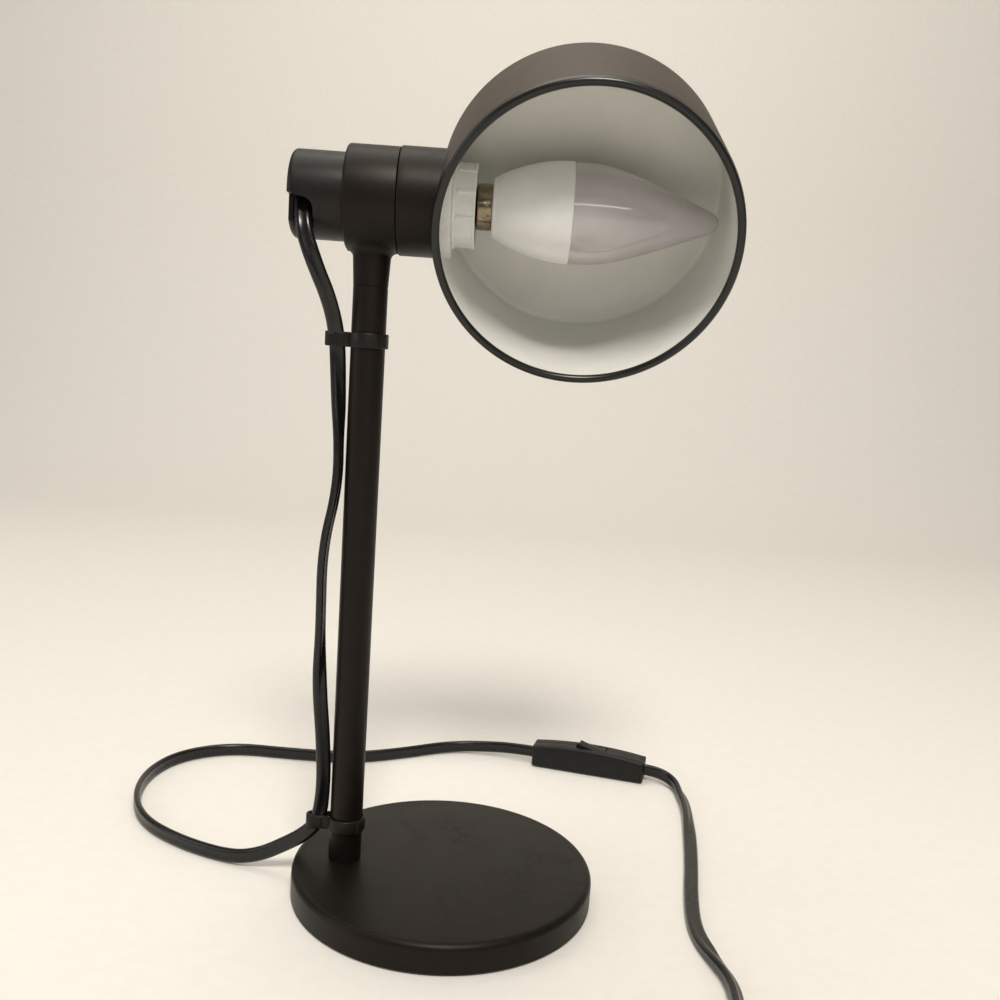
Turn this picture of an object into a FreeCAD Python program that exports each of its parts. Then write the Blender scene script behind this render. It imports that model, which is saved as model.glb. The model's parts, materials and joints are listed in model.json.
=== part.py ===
"""A table lamp: round weighted base, upright tube, horizontal barrel and a drum shade that tilts about the barrel.

Millimetres, +Z up. The origin is the centre of the base's underside. The barrel runs along +X, from the rear plug
on the left to the shade on the right, and the shade's opening looks along -Y and a little down.
"""
import FreeCAD
import Part

import math
import os

Vector = FreeCAD.Vector
X_AXIS = Vector(1, 0, 0)
Y_AXIS = Vector(0, 1, 0)
Z_AXIS = Vector(0, 0, 1)

# ---------------------------------------------------------------------------------------------------------------
# Driving dimensions
# ---------------------------------------------------------------------------------------------------------------
BASE_RADIUS = 61.25
BASE_HEIGHT = 11.9
BASE_EDGE_ROUND = 2.6
BASE_WALL = 1.4
PAD_THICKNESS = 1.2
PAD_RADIUS = 59.0
SKIRT_CLEARANCE = 0.5            # the pressed cover stops this far above the table

STEM_X = -40.6                   # the stem stands off the middle of the base
STEM_RADIUS = 6.55
STEM_BORE = 5.4
NECK_SEAM_Z = 241.6

BARREL_Z = 273.3
COLLAR_RADIUS = 19.2
COLLAR_HALF = 9.65
COLLAR_BORE = 16.05
SLEEVE_RADIUS = 19.7
SLEEVE_BORE = 17.7
SLEEVE_START = 9.85              # distances along the barrel are counted from the stem's axis
PLUG_RADIUS = 16.0
PLUG_END = -29.8
PLUG_INNER_END = -4.0
PLUG_WALL = 1.7

SHADE_OFFSET = 78.3              # from the stem's axis to the middle of the drum
SHADE_RADIUS = 55.2
SHADE_WALL = 1.0
SHADE_FRONT = 30.4               # from the barrel's axis to the front of the rim
SHADE_BACK = 23.8                # from the barrel's axis to the back plate's outer face
SHADE_CORNER = 3.0
BEAD_RADIUS = 1.5
BEAD_INSET = 0.25
BEAD_RUN_IN = 1.2
SHADE_TILT = 26.6                # degrees below the horizontal

SWIVEL_HALF_RANGE = 150.0        # degrees either way from the stored tilt
STOP_PIN_RADIUS = 1.2
STOP_CIRCLE = 13.2               # radius on which the stop pin travels

NIPPLE_RADIUS = 5.0              # M10 hollow threaded tube
NIPPLE_BORE = 3.5
RUNNING_CLEARANCE = 0.06

HOLDER_RADIUS = 13.4
RING_NUT_RADIUS = 15.0
FLANGE_RADIUS = 19.5
FLANGE_FACE = 29.4
BULB_CAP_RADIUS = 6.95           # E14 thread, crest
BULB_COLLAR_RADIUS = 8.4
BULB_CAP_END = 44.0
BULB_SEAM = 73.1
BULB_RADIUS = 18.5
BULB_TIP = 128.4

CLIP_WALL = 1.1
CLIP_HEIGHT = 5.6
UPPER_CLIP_Z = 221.4
LOWER_CLIP_Z = 27.2
CLIP_CORD_CENTRE = -12.0         # from the stem's axis to the middle of the clip's cord loop

CORD_WIDTH = 6.0                 # flat two-core cord
CORD_THICKNESS = 3.1
CORD_TUBE = CORD_WIDTH

SWITCH_LENGTH = 60.6
SWITCH_WIDTH = 12.6
SWITCH_END_HEIGHT = 11.2
SWITCH_CROWN = 13.4
SWITCH_WALL = 1.4
SWITCH_MOUTH = (1.6, 3.05)
CASE_SCREW_X = 21.0
CASE_SCREW_Z = 4.2
CASE_SCREW_RADIUS = 1.05
CASE_POST_RADIUS = 2.2
CONTACT_SPAN = (12.0, 18.2)
CONTACT_LOW = 2.2
CONTACT_HEIGHT = 5.2
SWITCH_CENTRE = (71.8, 133.8)
SWITCH_HEADING = -15.1           # degrees from +X
SWITCH_FLOOR = 0.2
SWITCH_CORD_Z = 6.2
ROCKER_LENGTH = 15.0
ROCKER_WIDTH = 6.4
ROCKER_END_GAP = 0.9
ROCKER_SIDE_GAP = 0.3
ROCKER_PIN_RADIUS = 1.2
ROCKER_PIN_REACH = 5.0
BEARING_HALF = 2.4
ROCKER_TILT = 10.0               # degrees, with the end nearer the lamp standing up
ROCKER_OFFSET = 1.2
ROCKER_PIVOT_Z = 10.6

COIL_CENTRE = (74.4, -125.0)
COIL_MID_RADIUS = 30.0
COIL_BAND = 12.0                 # two turns wide and two turns high
TIE_WIDTH = 6.0
TIE_WALL = 0.9

PLUG_BODY = (30.0, 22.0, 13.0)
PLUG_CENTRE = (-8.5, -157.0)
RELIEF_LENGTH = 24.0
RELIEF_GROOVES = 5
GROOVE_SPACING = 3.6
GROOVE_WIDTH = 1.4
RELIEF_RADII = (4.6, 3.4)
BLADE_SPACING = 12.7
BLADE_LENGTH = 16.0
BLADE_WIDTH = 6.3
BLADE_THICKNESS = 1.5
PLUG_FLOOR = 0.1
PLUG_EDGE = 1.8

# Cord routes: corners of straight runs that are joined by tangent arcs.
LAMP_SIDE_ROUTE = [
    (-65.4, -8.5, 270.0),
    (-64.0, -14.0, 259.5),
    (-59.5, -13.5, 247.5),
    (-54.8, -6.5, 235.5),
    (-52.4, -0.2, 223.0),
    (-51.5, 0.6, 208.0),
    (-50.2, -2.8, 187.0),
    (-49.9, -3.4, 165.0),
    (-54.5, -3.2, 141.0),
    (-54.1, -1.6, 113.0),
    (-53.5, -2.6, 86.0),
    (-51.0, -2.0, 62.0),
    (-50.2, -2.6, 43.0),
    (-51.7, -0.8, 27.0),
    (-57.8, 1.4, 20.5),
    (-67.0, 5.2, 15.0),
    (-77.5, 8.0, 7.6),
    (-90.0, 10.0, 3.1),
    (-114.0, 20.5, 3.1),
    (-136.0, 37.5, 3.1),
    (-148.5, 62.0, 3.1),
    (-151.5, 90.0, 3.1),
    (-142.5, 114.0, 3.1),
    (-119.0, 128.0, 3.1),
    (-88.0, 125.2, 3.1),
    (-56.0, 124.5, 3.1),
    (-31.0, 134.5, 3.1),
    (-4.0, 150.0, 3.1),
    (19.5, 149.3, 4.6),
    (33.8, 144.1, 6.2),
    (42.5, 141.7, 6.2),
]
PLUG_SIDE_ROUTE = [
    (101.1, 125.9, 6.2),
    (108.0, 124.1, 5.9),
    (114.3, 118.4, 4.6),
    (117.2, 107.0, 3.2),
    (117.8, 90.0, 3.1),
    (114.8, 64.0, 3.1),
    (109.9, 32.0, 3.1),
    (104.2, 2.0, 3.1),
    (101.0, -24.0, 3.1),
    (104.4, -44.0, 3.1),
    (108.8, -60.0, 3.1),
    (106.4, -79.0, 3.1),
    (106.4, -98.0, 3.1),
    (107.4, -112.0, 3.1),
    (107.4, -125.0, 3.1),
]
TAIL_ROUTE = [
    (74.4, -158.0, 3.1),
    (62.0, -158.0, 3.1),
    (49.0, -157.0, 4.9),
    (39.0, -157.0, 6.5),
    (30.5, -157.0, 6.5),
]


# ---------------------------------------------------------------------------------------------------------------
# Building blocks
# ---------------------------------------------------------------------------------------------------------------
def outline(place, start, *steps):
    """Closed face from a start point and steps; a step is a point, or a (middle, end) pair for an arc."""
    edges = []
    here = start
    for step in list(steps) + [start]:
        if isinstance(step[0], tuple):
            middle, end = step
            edges.append(Part.Arc(place(here), place(middle), place(end)).toShape())
        else:
            end = step
            if place(end).distanceToPoint(place(here)) > 1e-7:
                edges.append(Part.makeLine(place(here), place(end)))
        here = end
    return Part.Face(Part.Wire(edges))


def on_barrel(along, radius):
    """Point above the barrel's axis, at a distance along it from the stem's axis."""
    return Vector(STEM_X + along, 0, BARREL_Z + radius)


def barrel_turned(start, *steps):
    """Solid turned about the barrel's axis from (along, radius) points."""
    return outline(lambda p: on_barrel(*p), start, *steps).revolve(on_barrel(0, 0), X_AXIS, 360)


def barrel_ring(outer, inner, first, last):
    """Plain ring or disc about the barrel's axis."""
    body = Part.makeCylinder(outer, last - first, on_barrel(first, 0), X_AXIS)
    if inner > 0:
        body = body.cut(Part.makeCylinder(inner, last - first, on_barrel(first, 0), X_AXIS))
    return body


def upright_turned(centre_x, start, *steps):
    """Solid turned about a vertical axis at y = 0 from (radius, z) points."""
    face = outline(lambda p: Vector(centre_x + p[0], 0, p[1]), start, *steps)
    return face.revolve(Vector(centre_x, 0, 0), Z_AXIS, 360)


def upright_ring(centre_x, outer, inner, bottom, top):
    """Plain ring or disc about a vertical axis at y = 0."""
    body = Part.makeCylinder(outer, top - bottom, Vector(centre_x, 0, bottom))
    if inner > 0:
        body = body.cut(Part.makeCylinder(inner, top - bottom, Vector(centre_x, 0, bottom)))
    return body


def hexagon(across_flats, height, base, axis):
    """Hexagonal prism standing on base along axis."""
    radius = across_flats / math.sqrt(3)
    corners = [Vector(radius * math.cos(math.radians(60 * i)), radius * math.sin(math.radians(60 * i)), 0)
               for i in range(7)]
    prism = Part.Face(Part.makePolygon(corners)).extrude(Vector(0, 0, height))
    prism.Placement = FreeCAD.Placement(base, FreeCAD.Rotation(Z_AXIS, axis))
    return prism


def box(low, high):
    """Box between two corners."""
    size = [high[i] - low[i] for i in range(3)]
    return Part.makeBox(size[0], size[1], size[2], Vector(*low))


def group(solids):
    """Separate solids that share one node."""
    return Part.makeCompound(solids)


def rounded(shape, radius, choose):
    """Shape with the edges that choose() picks rounded."""
    edges = [edge for edge in shape.Edges if choose(edge)]
    return shape.makeFillet(radius, edges)


def arc_point(centre, radius, degrees):
    """Point on a circle in profile coordinates."""
    angle = math.radians(degrees)
    return (centre[0] + radius * math.cos(angle), centre[1] + radius * math.sin(angle))


# ---------------------------------------------------------------------------------------------------------------
# Base and stem
# ---------------------------------------------------------------------------------------------------------------
NUT_POCKET_RADIUS = 11.0
NUT_POCKET_TOP = 6.6
STUD_RADIUS = 5.0
FOOT_NUT_HEIGHT = 4.0
FOOT_WASHER = 1.2
COVER_UNDERSIDE = BASE_HEIGHT - BASE_WALL


def base_cover():
    """Pressed steel cover with a rounded top edge, open underneath."""
    outer, inner = BASE_RADIUS, BASE_RADIUS - BASE_WALL
    turn, inner_round = BASE_EDGE_ROUND, BASE_EDGE_ROUND - BASE_WALL
    outer_centre = (outer - turn, BASE_HEIGHT - turn)
    inner_centre = (inner - inner_round, COVER_UNDERSIDE - inner_round)
    cover = upright_turned(
        0, (0, COVER_UNDERSIDE),
        (inner_centre[0], COVER_UNDERSIDE),
        (arc_point(inner_centre, inner_round, 45), (inner, inner_centre[1])),
        (inner, SKIRT_CLEARANCE), (outer, SKIRT_CLEARANCE), (outer, outer_centre[1]),
        (arc_point(outer_centre, turn, 45), (outer_centre[0], BASE_HEIGHT)),
        (0, BASE_HEIGHT))
    return cover.cut(upright_ring(STEM_X, STUD_RADIUS + 0.2, 0, 0, BASE_HEIGHT + 1))


def base_weight():
    """Cast disc that keeps the lamp upright, with a pocket for the stem's nut."""
    radius = BASE_RADIUS - BASE_WALL - 0.2
    top = COVER_UNDERSIDE - 0.05
    chamfer = 1.4
    disc = upright_turned(0, (0, PAD_THICKNESS), (radius, PAD_THICKNESS), (radius, top - chamfer),
                          (radius - chamfer, top), (0, top))
    pocket = upright_ring(STEM_X, NUT_POCKET_RADIUS, 0, 0, NUT_POCKET_TOP)
    return disc.cut(pocket).cut(upright_ring(STEM_X, STUD_RADIUS + 0.2, 0, 0, top + 1))


def base_pad():
    """Soft pad that the lamp stands on."""
    return upright_ring(0, PAD_RADIUS, 0, 0, PAD_THICKNESS)


def stem_tube():
    """Upright steel tube, closed at the neck by the top insert."""
    chamfer = 0.3
    return upright_turned(
        STEM_X, (STEM_BORE, BASE_HEIGHT), (STEM_RADIUS, BASE_HEIGHT), (STEM_RADIUS, NECK_SEAM_Z - chamfer - 0.1),
        (STEM_RADIUS - chamfer, NECK_SEAM_Z - 0.1), (STEM_BORE, NECK_SEAM_Z - 0.1))


def stem_foot_stud():
    """Threaded stud pressed into the foot of the stem."""
    plug = upright_ring(STEM_X, STEM_BORE - 0.03, 0, BASE_HEIGHT, BASE_HEIGHT + 18)
    stud = upright_ring(STEM_X, STUD_RADIUS, 0, PAD_THICKNESS + 0.3, BASE_HEIGHT)
    return plug.fuse(stud).removeSplitter()


def foot_washer():
    """Plain washer under the weight."""
    return upright_ring(STEM_X, 10.0, STUD_RADIUS + 0.05, NUT_POCKET_TOP - FOOT_WASHER, NUT_POCKET_TOP)


def foot_nut():
    """Nut that clamps cover and weight to the stem."""
    bottom = NUT_POCKET_TOP - FOOT_WASHER - FOOT_NUT_HEIGHT + 0.2
    nut = hexagon(16, FOOT_NUT_HEIGHT - 0.2, Vector(STEM_X, 0, bottom), Z_AXIS)
    return nut.cut(upright_ring(STEM_X, STUD_RADIUS + 0.05, 0, bottom, bottom + FOOT_NUT_HEIGHT))


NECK_NIPPLE_RADIUS = 4.0
NECK_NIPPLE_LENGTH = 18.0


def stem_top_insert():
    """Threaded bush pressed into the top of the stem."""
    top = NECK_SEAM_Z - 0.1
    return upright_ring(STEM_X, STEM_BORE - 0.03, NECK_NIPPLE_RADIUS + 0.03, top - 12, top)


def neck_nipple():
    """Threaded pin that joins the stem to the tee housing."""
    middle = NECK_SEAM_Z - 2
    half = NECK_NIPPLE_LENGTH / 2
    return upright_ring(STEM_X, NECK_NIPPLE_RADIUS, 0, middle - half, middle + half)


# ---------------------------------------------------------------------------------------------------------------
# Tee housing and rear plug
# ---------------------------------------------------------------------------------------------------------------
WEB_LEFT = 5.8
WEB_RIGHT = 9.2
RECESS_RADIUS = 15.0
NECK_TOP_RADIUS = 7.1


def tee_housing():
    """Die-cast collar with a short neck: holds the rear plug, the swivel's bearing web and the stem."""
    edge = 1.0
    lip = 0.4
    left, right = -COLLAR_HALF, COLLAR_HALF
    collar = barrel_turned(
        (left, COLLAR_BORE), (left, COLLAR_RADIUS - edge),
        ((left + edge * 0.3, COLLAR_RADIUS - edge * 0.3), (left + edge, COLLAR_RADIUS)),
        (right - lip, COLLAR_RADIUS), (right, COLLAR_RADIUS - lip), (right, RECESS_RADIUS),
        (WEB_RIGHT, RECESS_RADIUS), (WEB_RIGHT, NIPPLE_RADIUS + RUNNING_CLEARANCE),
        (WEB_LEFT, NIPPLE_RADIUS + RUNNING_CLEARANCE), (WEB_LEFT, COLLAR_BORE))
    flare = 3.0
    neck_top = BARREL_Z - COLLAR_RADIUS
    neck = upright_turned(
        STEM_X, (0, NECK_SEAM_Z), (STEM_RADIUS - 0.3, NECK_SEAM_Z), (STEM_RADIUS, NECK_SEAM_Z + 0.3),
        (NECK_TOP_RADIUS, neck_top - 1.0),
        ((NECK_TOP_RADIUS + flare * 0.22, neck_top + 0.7), (NECK_TOP_RADIUS + flare, neck_top + 2.6)),
        (0, neck_top + 2.6))
    bore = barrel_ring(COLLAR_RADIUS - 1.0, 0, -30, 30)
    neck = neck.cut(bore)
    body = collar.fuse(neck).removeSplitter()
    body = body.cut(upright_ring(STEM_X, NECK_NIPPLE_RADIUS + 0.03, 0, NECK_SEAM_Z - 1, NECK_SEAM_Z + 7.5))
    pin_hole = Part.makeCylinder(STOP_PIN_RADIUS + 0.01, 20, on_barrel(WEB_LEFT - 1, STOP_CIRCLE), X_AXIS)
    screw_hole = Part.makeCylinder(1.5, 8, Vector(STEM_X - 6.8, COLLAR_BORE - 1.5, BARREL_Z), Y_AXIS)
    return body.cut(pin_hole).cut(screw_hole)


def turn_stop_pin():
    """Pin in the bearing web that runs in the sleeve's groove and stops the shade from winding its wires."""
    return Part.makeCylinder(STOP_PIN_RADIUS, 5.2, on_barrel(WEB_LEFT, STOP_CIRCLE), X_AXIS)


def plug_set_screw():
    """Headless screw at the back of the collar that holds the rear plug."""
    return Part.makeCylinder(1.45, 3.6, Vector(STEM_X - 6.8, COLLAR_BORE + 0.02, BARREL_Z), Y_AXIS)


def rear_plug():
    """Cup that closes the back of the barrel, with an arched slot for the cord."""
    turn = 2.0
    inside = PLUG_RADIUS - PLUG_WALL
    cup = barrel_turned(
        (PLUG_END, 0), (PLUG_END, PLUG_RADIUS - turn),
        ((PLUG_END + turn * 0.293, PLUG_RADIUS - turn * 0.293), (PLUG_END + turn, PLUG_RADIUS)),
        (PLUG_INNER_END, PLUG_RADIUS), (PLUG_INNER_END, inside), (PLUG_END + PLUG_WALL, inside),
        (PLUG_END + PLUG_WALL, 0))
    slot_x = STEM_X - 24.4
    slot_half = 4.2
    crown_z = BARREL_Z - 2.8
    reach = 22.0
    arch = Part.makeCylinder(slot_half, reach, Vector(slot_x, -reach - 3.0, crown_z), Y_AXIS)
    legs = box((slot_x - slot_half, -reach - 3.0, BARREL_Z - 20), (slot_x + slot_half, -3.0, crown_z))
    rim_notch = box((STEM_X + PLUG_END - 1, -20, BARREL_Z - 10.6), (slot_x, -12.4, BARREL_Z - 0.6))
    return cup.cut(arch.fuse(legs)).cut(rim_notch)


def cord_grip():
    """Moulded strain relief that clamps the cord inside the rear plug."""
    barrel = barrel_ring(PLUG_RADIUS - PLUG_WALL - 0.1, 0, -27.9, -19.6)
    block = barrel.common(box((STEM_X - 28, -9.0, BARREL_Z - 9), (STEM_X - 19, 10.0, BARREL_Z + 5)))
    for across in (-4.5, 6.5):
        block = block.cut(Part.makeCylinder(1.3, 30, Vector(STEM_X - 22.0, across, BARREL_Z - 15), Z_AXIS))
    return block


def cord_grip_screws():
    """Two screws that close the strain relief on the cord."""
    screws = []
    for across in (-4.5, 6.5):
        shank = Part.makeCylinder(1.25, 13, Vector(STEM_X - 22.0, across, BARREL_Z - 8), Z_AXIS)
        head = Part.makeCylinder(2.4, 1.6, Vector(STEM_X - 22.0, across, BARREL_Z + 5.0), Z_AXIS)
        screws.append(shank.fuse(head).removeSplitter())
    return group(screws)


def tee_wires():
    """Two insulated wires from the strain relief to the mouth of the swivel nipple."""
    return group([Part.makeCylinder(0.9, 16.8, on_barrel(-19.5, 0) + Vector(0, side * 1.3, 0), X_AXIS)
                  for side in (-1, 1)])


# ---------------------------------------------------------------------------------------------------------------
# Swivel
# ---------------------------------------------------------------------------------------------------------------
NIPPLE_START = -2.4
NIPPLE_END = 20.6
SHOULDER_RADIUS = 7.6
FRICTION_WASHER = 1.0
SPRING_WASHER = 1.4
SWIVEL_NUT = 3.6
SLEEVE_WEB = 2.4


def swivel_nipple():
    """Hollow threaded tube that the shade turns on; the wires run through it."""
    tube = barrel_ring(NIPPLE_RADIUS, NIPPLE_BORE, NIPPLE_START, NIPPLE_END)
    shoulder = barrel_ring(SHOULDER_RADIUS, NIPPLE_BORE, WEB_RIGHT + 0.05, SLEEVE_START)
    return tube.fuse(shoulder).removeSplitter()


def friction_disc():
    """Fibre ring between the tee housing and the sleeve."""
    return barrel_ring(11.4, SHOULDER_RADIUS + 0.3, WEB_RIGHT, SLEEVE_START - 0.04)


def friction_washer():
    """Fibre washer behind the bearing web."""
    return barrel_ring(9.6, NIPPLE_RADIUS + RUNNING_CLEARANCE, WEB_LEFT - FRICTION_WASHER, WEB_LEFT)


def spring_washer():
    """Conical spring washer that keeps the swivel stiff."""
    last = WEB_LEFT - FRICTION_WASHER - 0.04
    first = last - SPRING_WASHER
    inner = NIPPLE_RADIUS + 0.02
    return barrel_turned((first, inner), (first, inner + 1.6), (last - 0.7, 9.2), (last, 9.2),
                         (last, 8.4), (first + 0.7, inner))


def swivel_nuts():
    """Nut and locknut that set the swivel's friction."""
    last = WEB_LEFT - FRICTION_WASHER - 0.04 - SPRING_WASHER
    nut_height = 2.6
    nuts = []
    for index in range(2):
        start = last - (index + 1) * nut_height
        nut = hexagon(14, nut_height - 0.05, on_barrel(start, 0), X_AXIS)
        nuts.append(nut.cut(barrel_ring(NIPPLE_RADIUS + 0.02, 0, start - 1, start + 4)))
    return group(nuts)


def swivel_sleeve():
    """Turned sleeve that carries the shade; its end is cut to the drum's curve."""
    lip = 0.4
    start = SLEEVE_START
    sleeve = barrel_turned(
        (start, NIPPLE_RADIUS + 0.02), (start, SLEEVE_RADIUS - lip), (start + lip, SLEEVE_RADIUS),
        (30, SLEEVE_RADIUS), (30, SLEEVE_BORE), (start + SLEEVE_WEB, SLEEVE_BORE),
        (start + SLEEVE_WEB, NIPPLE_RADIUS + 0.02))
    drum = shade_cylinder(SHADE_RADIUS + 0.05)
    groove_half = STOP_PIN_RADIUS + 0.25
    groove = barrel_turned((start - 1, STOP_CIRCLE - groove_half), (start + 1.5, STOP_CIRCLE - groove_half),
                           (start + 1.5, STOP_CIRCLE + groove_half), (start - 1, STOP_CIRCLE + groove_half))
    pin_angle = math.degrees(groove_half / STOP_CIRCLE)
    block_half = 180 - SWIVEL_HALF_RANGE - pin_angle
    wedge = Part.makeCylinder(30, 20, on_barrel(start - 5, 0), X_AXIS, 2 * block_half)
    wedge.rotate(on_barrel(0, 0), X_AXIS, wedge_turn(wedge))
    return sleeve.cut(drum).cut(groove.cut(wedge))


def wedge_turn(wedge):
    """Angle that brings a wedge's middle under the barrel, opposite the stop pin."""
    middle = wedge.CenterOfMass - on_barrel(0, 0)
    return math.degrees(math.atan2(-1, 0) - math.atan2(middle.z, middle.y))


def sleeve_nut():
    """Nut that clamps the sleeve's web to the nipple's shoulder."""
    start = SLEEVE_START + SLEEVE_WEB
    nut = hexagon(14, 3.0, on_barrel(start, 0), X_AXIS)
    return nut.cut(barrel_ring(NIPPLE_RADIUS + 0.02, 0, start - 1, start + 5))


# ---------------------------------------------------------------------------------------------------------------
# Shade
# ---------------------------------------------------------------------------------------------------------------
SHADE_CENTRE = Vector(STEM_X + SHADE_OFFSET, 0, BARREL_Z)
SHADE_AXIS = Vector(0, -math.cos(math.radians(SHADE_TILT)), -math.sin(math.radians(SHADE_TILT)))


def in_shade(along, radius):
    """Point in the drum's profile plane: along its axis toward the opening, and out from it."""
    return SHADE_CENTRE + SHADE_AXIS * along + X_AXIS * radius


def shade_turned(start, *steps):
    """Solid turned about the drum's axis from (along, radius) points."""
    return outline(lambda p: in_shade(*p), start, *steps).revolve(SHADE_CENTRE, SHADE_AXIS, 360)


def shade_cylinder(radius):
    """Long cylinder on the drum's axis, for trimming."""
    return Part.makeCylinder(radius, 200, in_shade(-100, 0), SHADE_AXIS)


def shade_shell():
    """Drum with a rounded back corner and a rolled bead round its open front."""
    outer, inner = SHADE_RADIUS, SHADE_RADIUS - SHADE_WALL
    back, floor = -SHADE_BACK, -SHADE_BACK + SHADE_WALL
    turn, inner_turn = SHADE_CORNER, SHADE_CORNER - SHADE_WALL
    outer_corner = (back + turn, outer - turn)
    bead = (SHADE_FRONT - BEAD_RADIUS, outer - BEAD_INSET - BEAD_RADIUS)
    step = math.sqrt(BEAD_RADIUS ** 2 - (inner - bead[1]) ** 2)
    drum = shade_turned(
        (back, 0), (back, outer - turn), (arc_point(outer_corner, turn, 135), (back + turn, outer)),
        (bead[0] - BEAD_RUN_IN, outer), (bead[0], outer - BEAD_INSET),
        (arc_point(bead, BEAD_RADIUS, -20), (bead[0] - step, inner)),
        (floor + inner_turn, inner), (arc_point(outer_corner, inner_turn, 135), (floor, inner - inner_turn)),
        (floor, 0))
    hole = barrel_ring(HOLDER_RADIUS + 0.2, 0, 10, SHADE_OFFSET)
    return drum.cut(hole)


def holder_flange():
    """White spacer that sits on the drum's inner wall; its back follows the wall's curve."""
    edge = 0.4
    disc = barrel_turned((20, HOLDER_RADIUS + 0.2), (20, FLANGE_RADIUS), (FLANGE_FACE - edge, FLANGE_RADIUS),
                         (FLANGE_FACE, FLANGE_RADIUS - edge), (FLANGE_FACE, HOLDER_RADIUS + 0.2))
    return disc.common(shade_cylinder(SHADE_RADIUS - SHADE_WALL - 0.05))


def shade_ring_nut():
    """Ring nut that holds the shade and the flange on the lamp holder."""
    first = FLANGE_FACE + 0.02
    disc_end, lip_start, last = first + 1.4, 37.1, 37.9
    ring = barrel_turned(
        (first, HOLDER_RADIUS + 0.05), (first, RING_NUT_RADIUS + 0.8), (disc_end - 0.3, RING_NUT_RADIUS + 0.8),
        (disc_end, RING_NUT_RADIUS + 0.5), (disc_end, RING_NUT_RADIUS), (lip_start, RING_NUT_RADIUS - 0.2),
        (lip_start, RING_NUT_RADIUS + 0.15), (last, RING_NUT_RADIUS - 0.1), (last, HOLDER_RADIUS + 0.05))
    rib_count = 10
    ribs = []
    for index in range(rib_count):
        rib = box((STEM_X + disc_end - 0.1, -0.85, BARREL_Z + RING_NUT_RADIUS - 1.0),
                  (STEM_X + lip_start + 0.1, 0.85, BARREL_Z + RING_NUT_RADIUS + 0.35))
        rib.rotate(on_barrel(0, 0), X_AXIS, 90 + index * 360 / rib_count)
        ribs.append(rib)
    return ring.fuse(ribs).removeSplitter()


# ---------------------------------------------------------------------------------------------------------------
# Lamp holder
# ---------------------------------------------------------------------------------------------------------------
HOLDER_BACK = 15.4
HOLDER_FLOOR = 21.4
HOLDER_MOUTH = 37.4
THREAD_SHELL_RADIUS = 7.6


def lamp_holder_body():
    """Moulded lamp holder, screwed on the nipple behind and threaded outside for the ring nut."""
    return barrel_turned(
        (HOLDER_BACK, NIPPLE_RADIUS + 0.02), (HOLDER_BACK, HOLDER_RADIUS - 1), (HOLDER_BACK + 1, HOLDER_RADIUS),
        (HOLDER_MOUTH, HOLDER_RADIUS), (HOLDER_MOUTH, 9.4), (34.6, 9.4), (34.6, THREAD_SHELL_RADIUS + 0.03),
        (HOLDER_FLOOR, THREAD_SHELL_RADIUS + 0.03), (HOLDER_FLOOR, 3.4), (NIPPLE_END + 0.05, 3.4),
        (NIPPLE_END + 0.05, NIPPLE_RADIUS + 0.02))


def holder_thread_shell():
    """Brass screw shell of the lamp holder."""
    return barrel_ring(THREAD_SHELL_RADIUS, BULB_CAP_RADIUS + 0.08, HOLDER_FLOOR + 1.6, 34.4)


def holder_centre_contact():
    """Sprung brass tongue under the bulb's centre contact."""
    foot = box((STEM_X + HOLDER_FLOOR, 2.0, BARREL_Z - 2), (STEM_X + HOLDER_FLOOR + 0.5, 7.0, BARREL_Z + 2))
    tongue = box((STEM_X + HOLDER_FLOOR + 0.5, -2.0, BARREL_Z - 1.6), (STEM_X + HOLDER_FLOOR + 0.95, 3.5, BARREL_Z + 1.6))
    return foot.fuse(tongue).removeSplitter()


def holder_terminal_screws():
    """Two terminal screws in the back of the lamp holder."""
    return group([Part.makeCylinder(1.6, 3.0, on_barrel(HOLDER_BACK - 3.0, 0) + Vector(0, side * 9.2, 0), X_AXIS)
                  for side in (-1, 1)])


def holder_wires():
    """Two insulated wires through the nipple to the lamp holder."""
    return group([Part.makeCylinder(0.9, HOLDER_FLOOR - NIPPLE_START - 0.2,
                                    on_barrel(NIPPLE_START + 0.1, 0) + Vector(0, side * 1.3, 0), X_AXIS)
                  for side in (-1, 1)])


# ---------------------------------------------------------------------------------------------------------------
# Bulb
# ---------------------------------------------------------------------------------------------------------------
HOUSING_START = BULB_CAP_END
HOUSING_START_RADIUS = 11.0
BULB_WALL = 1.2
DIFFUSER_RADIUS = 18.3
LED_BOARD_X = 70.4
CAP_START = 27.2


def bulb_cap():
    """Screw cap: threaded shell, flared to a plain collar below the bulb's housing."""
    crest, root, wall = BULB_CAP_RADIUS, BULB_CAP_RADIUS - 0.5, 0.45
    pitch = 2.8
    profile = [(CAP_START, root)]
    for index in range(3):
        first = CAP_START + index * pitch
        middle = (first + pitch * 0.5, crest)
        profile.append((middle, (first + pitch, root)))
    collar = BULB_COLLAR_RADIUS
    return barrel_turned(
        (CAP_START, root - wall), *profile, (37.2, root), (38.4, collar), (BULB_CAP_END, collar),
        (BULB_CAP_END, collar - wall), (38.7, collar - wall), (37.5, root - wall))


def bulb_insulator():
    """Glass button between the screw shell and the centre contact."""
    root = BULB_CAP_RADIUS - 0.5
    return barrel_turned((24.2, 0), (24.2, 2.8), (CAP_START, root), (CAP_START, 0))


def bulb_contact():
    """Solder button in the middle of the cap."""
    return barrel_turned((22.7, 0), ((23.1, 1.6), (24.2, 2.2)), (24.2, 0))


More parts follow.
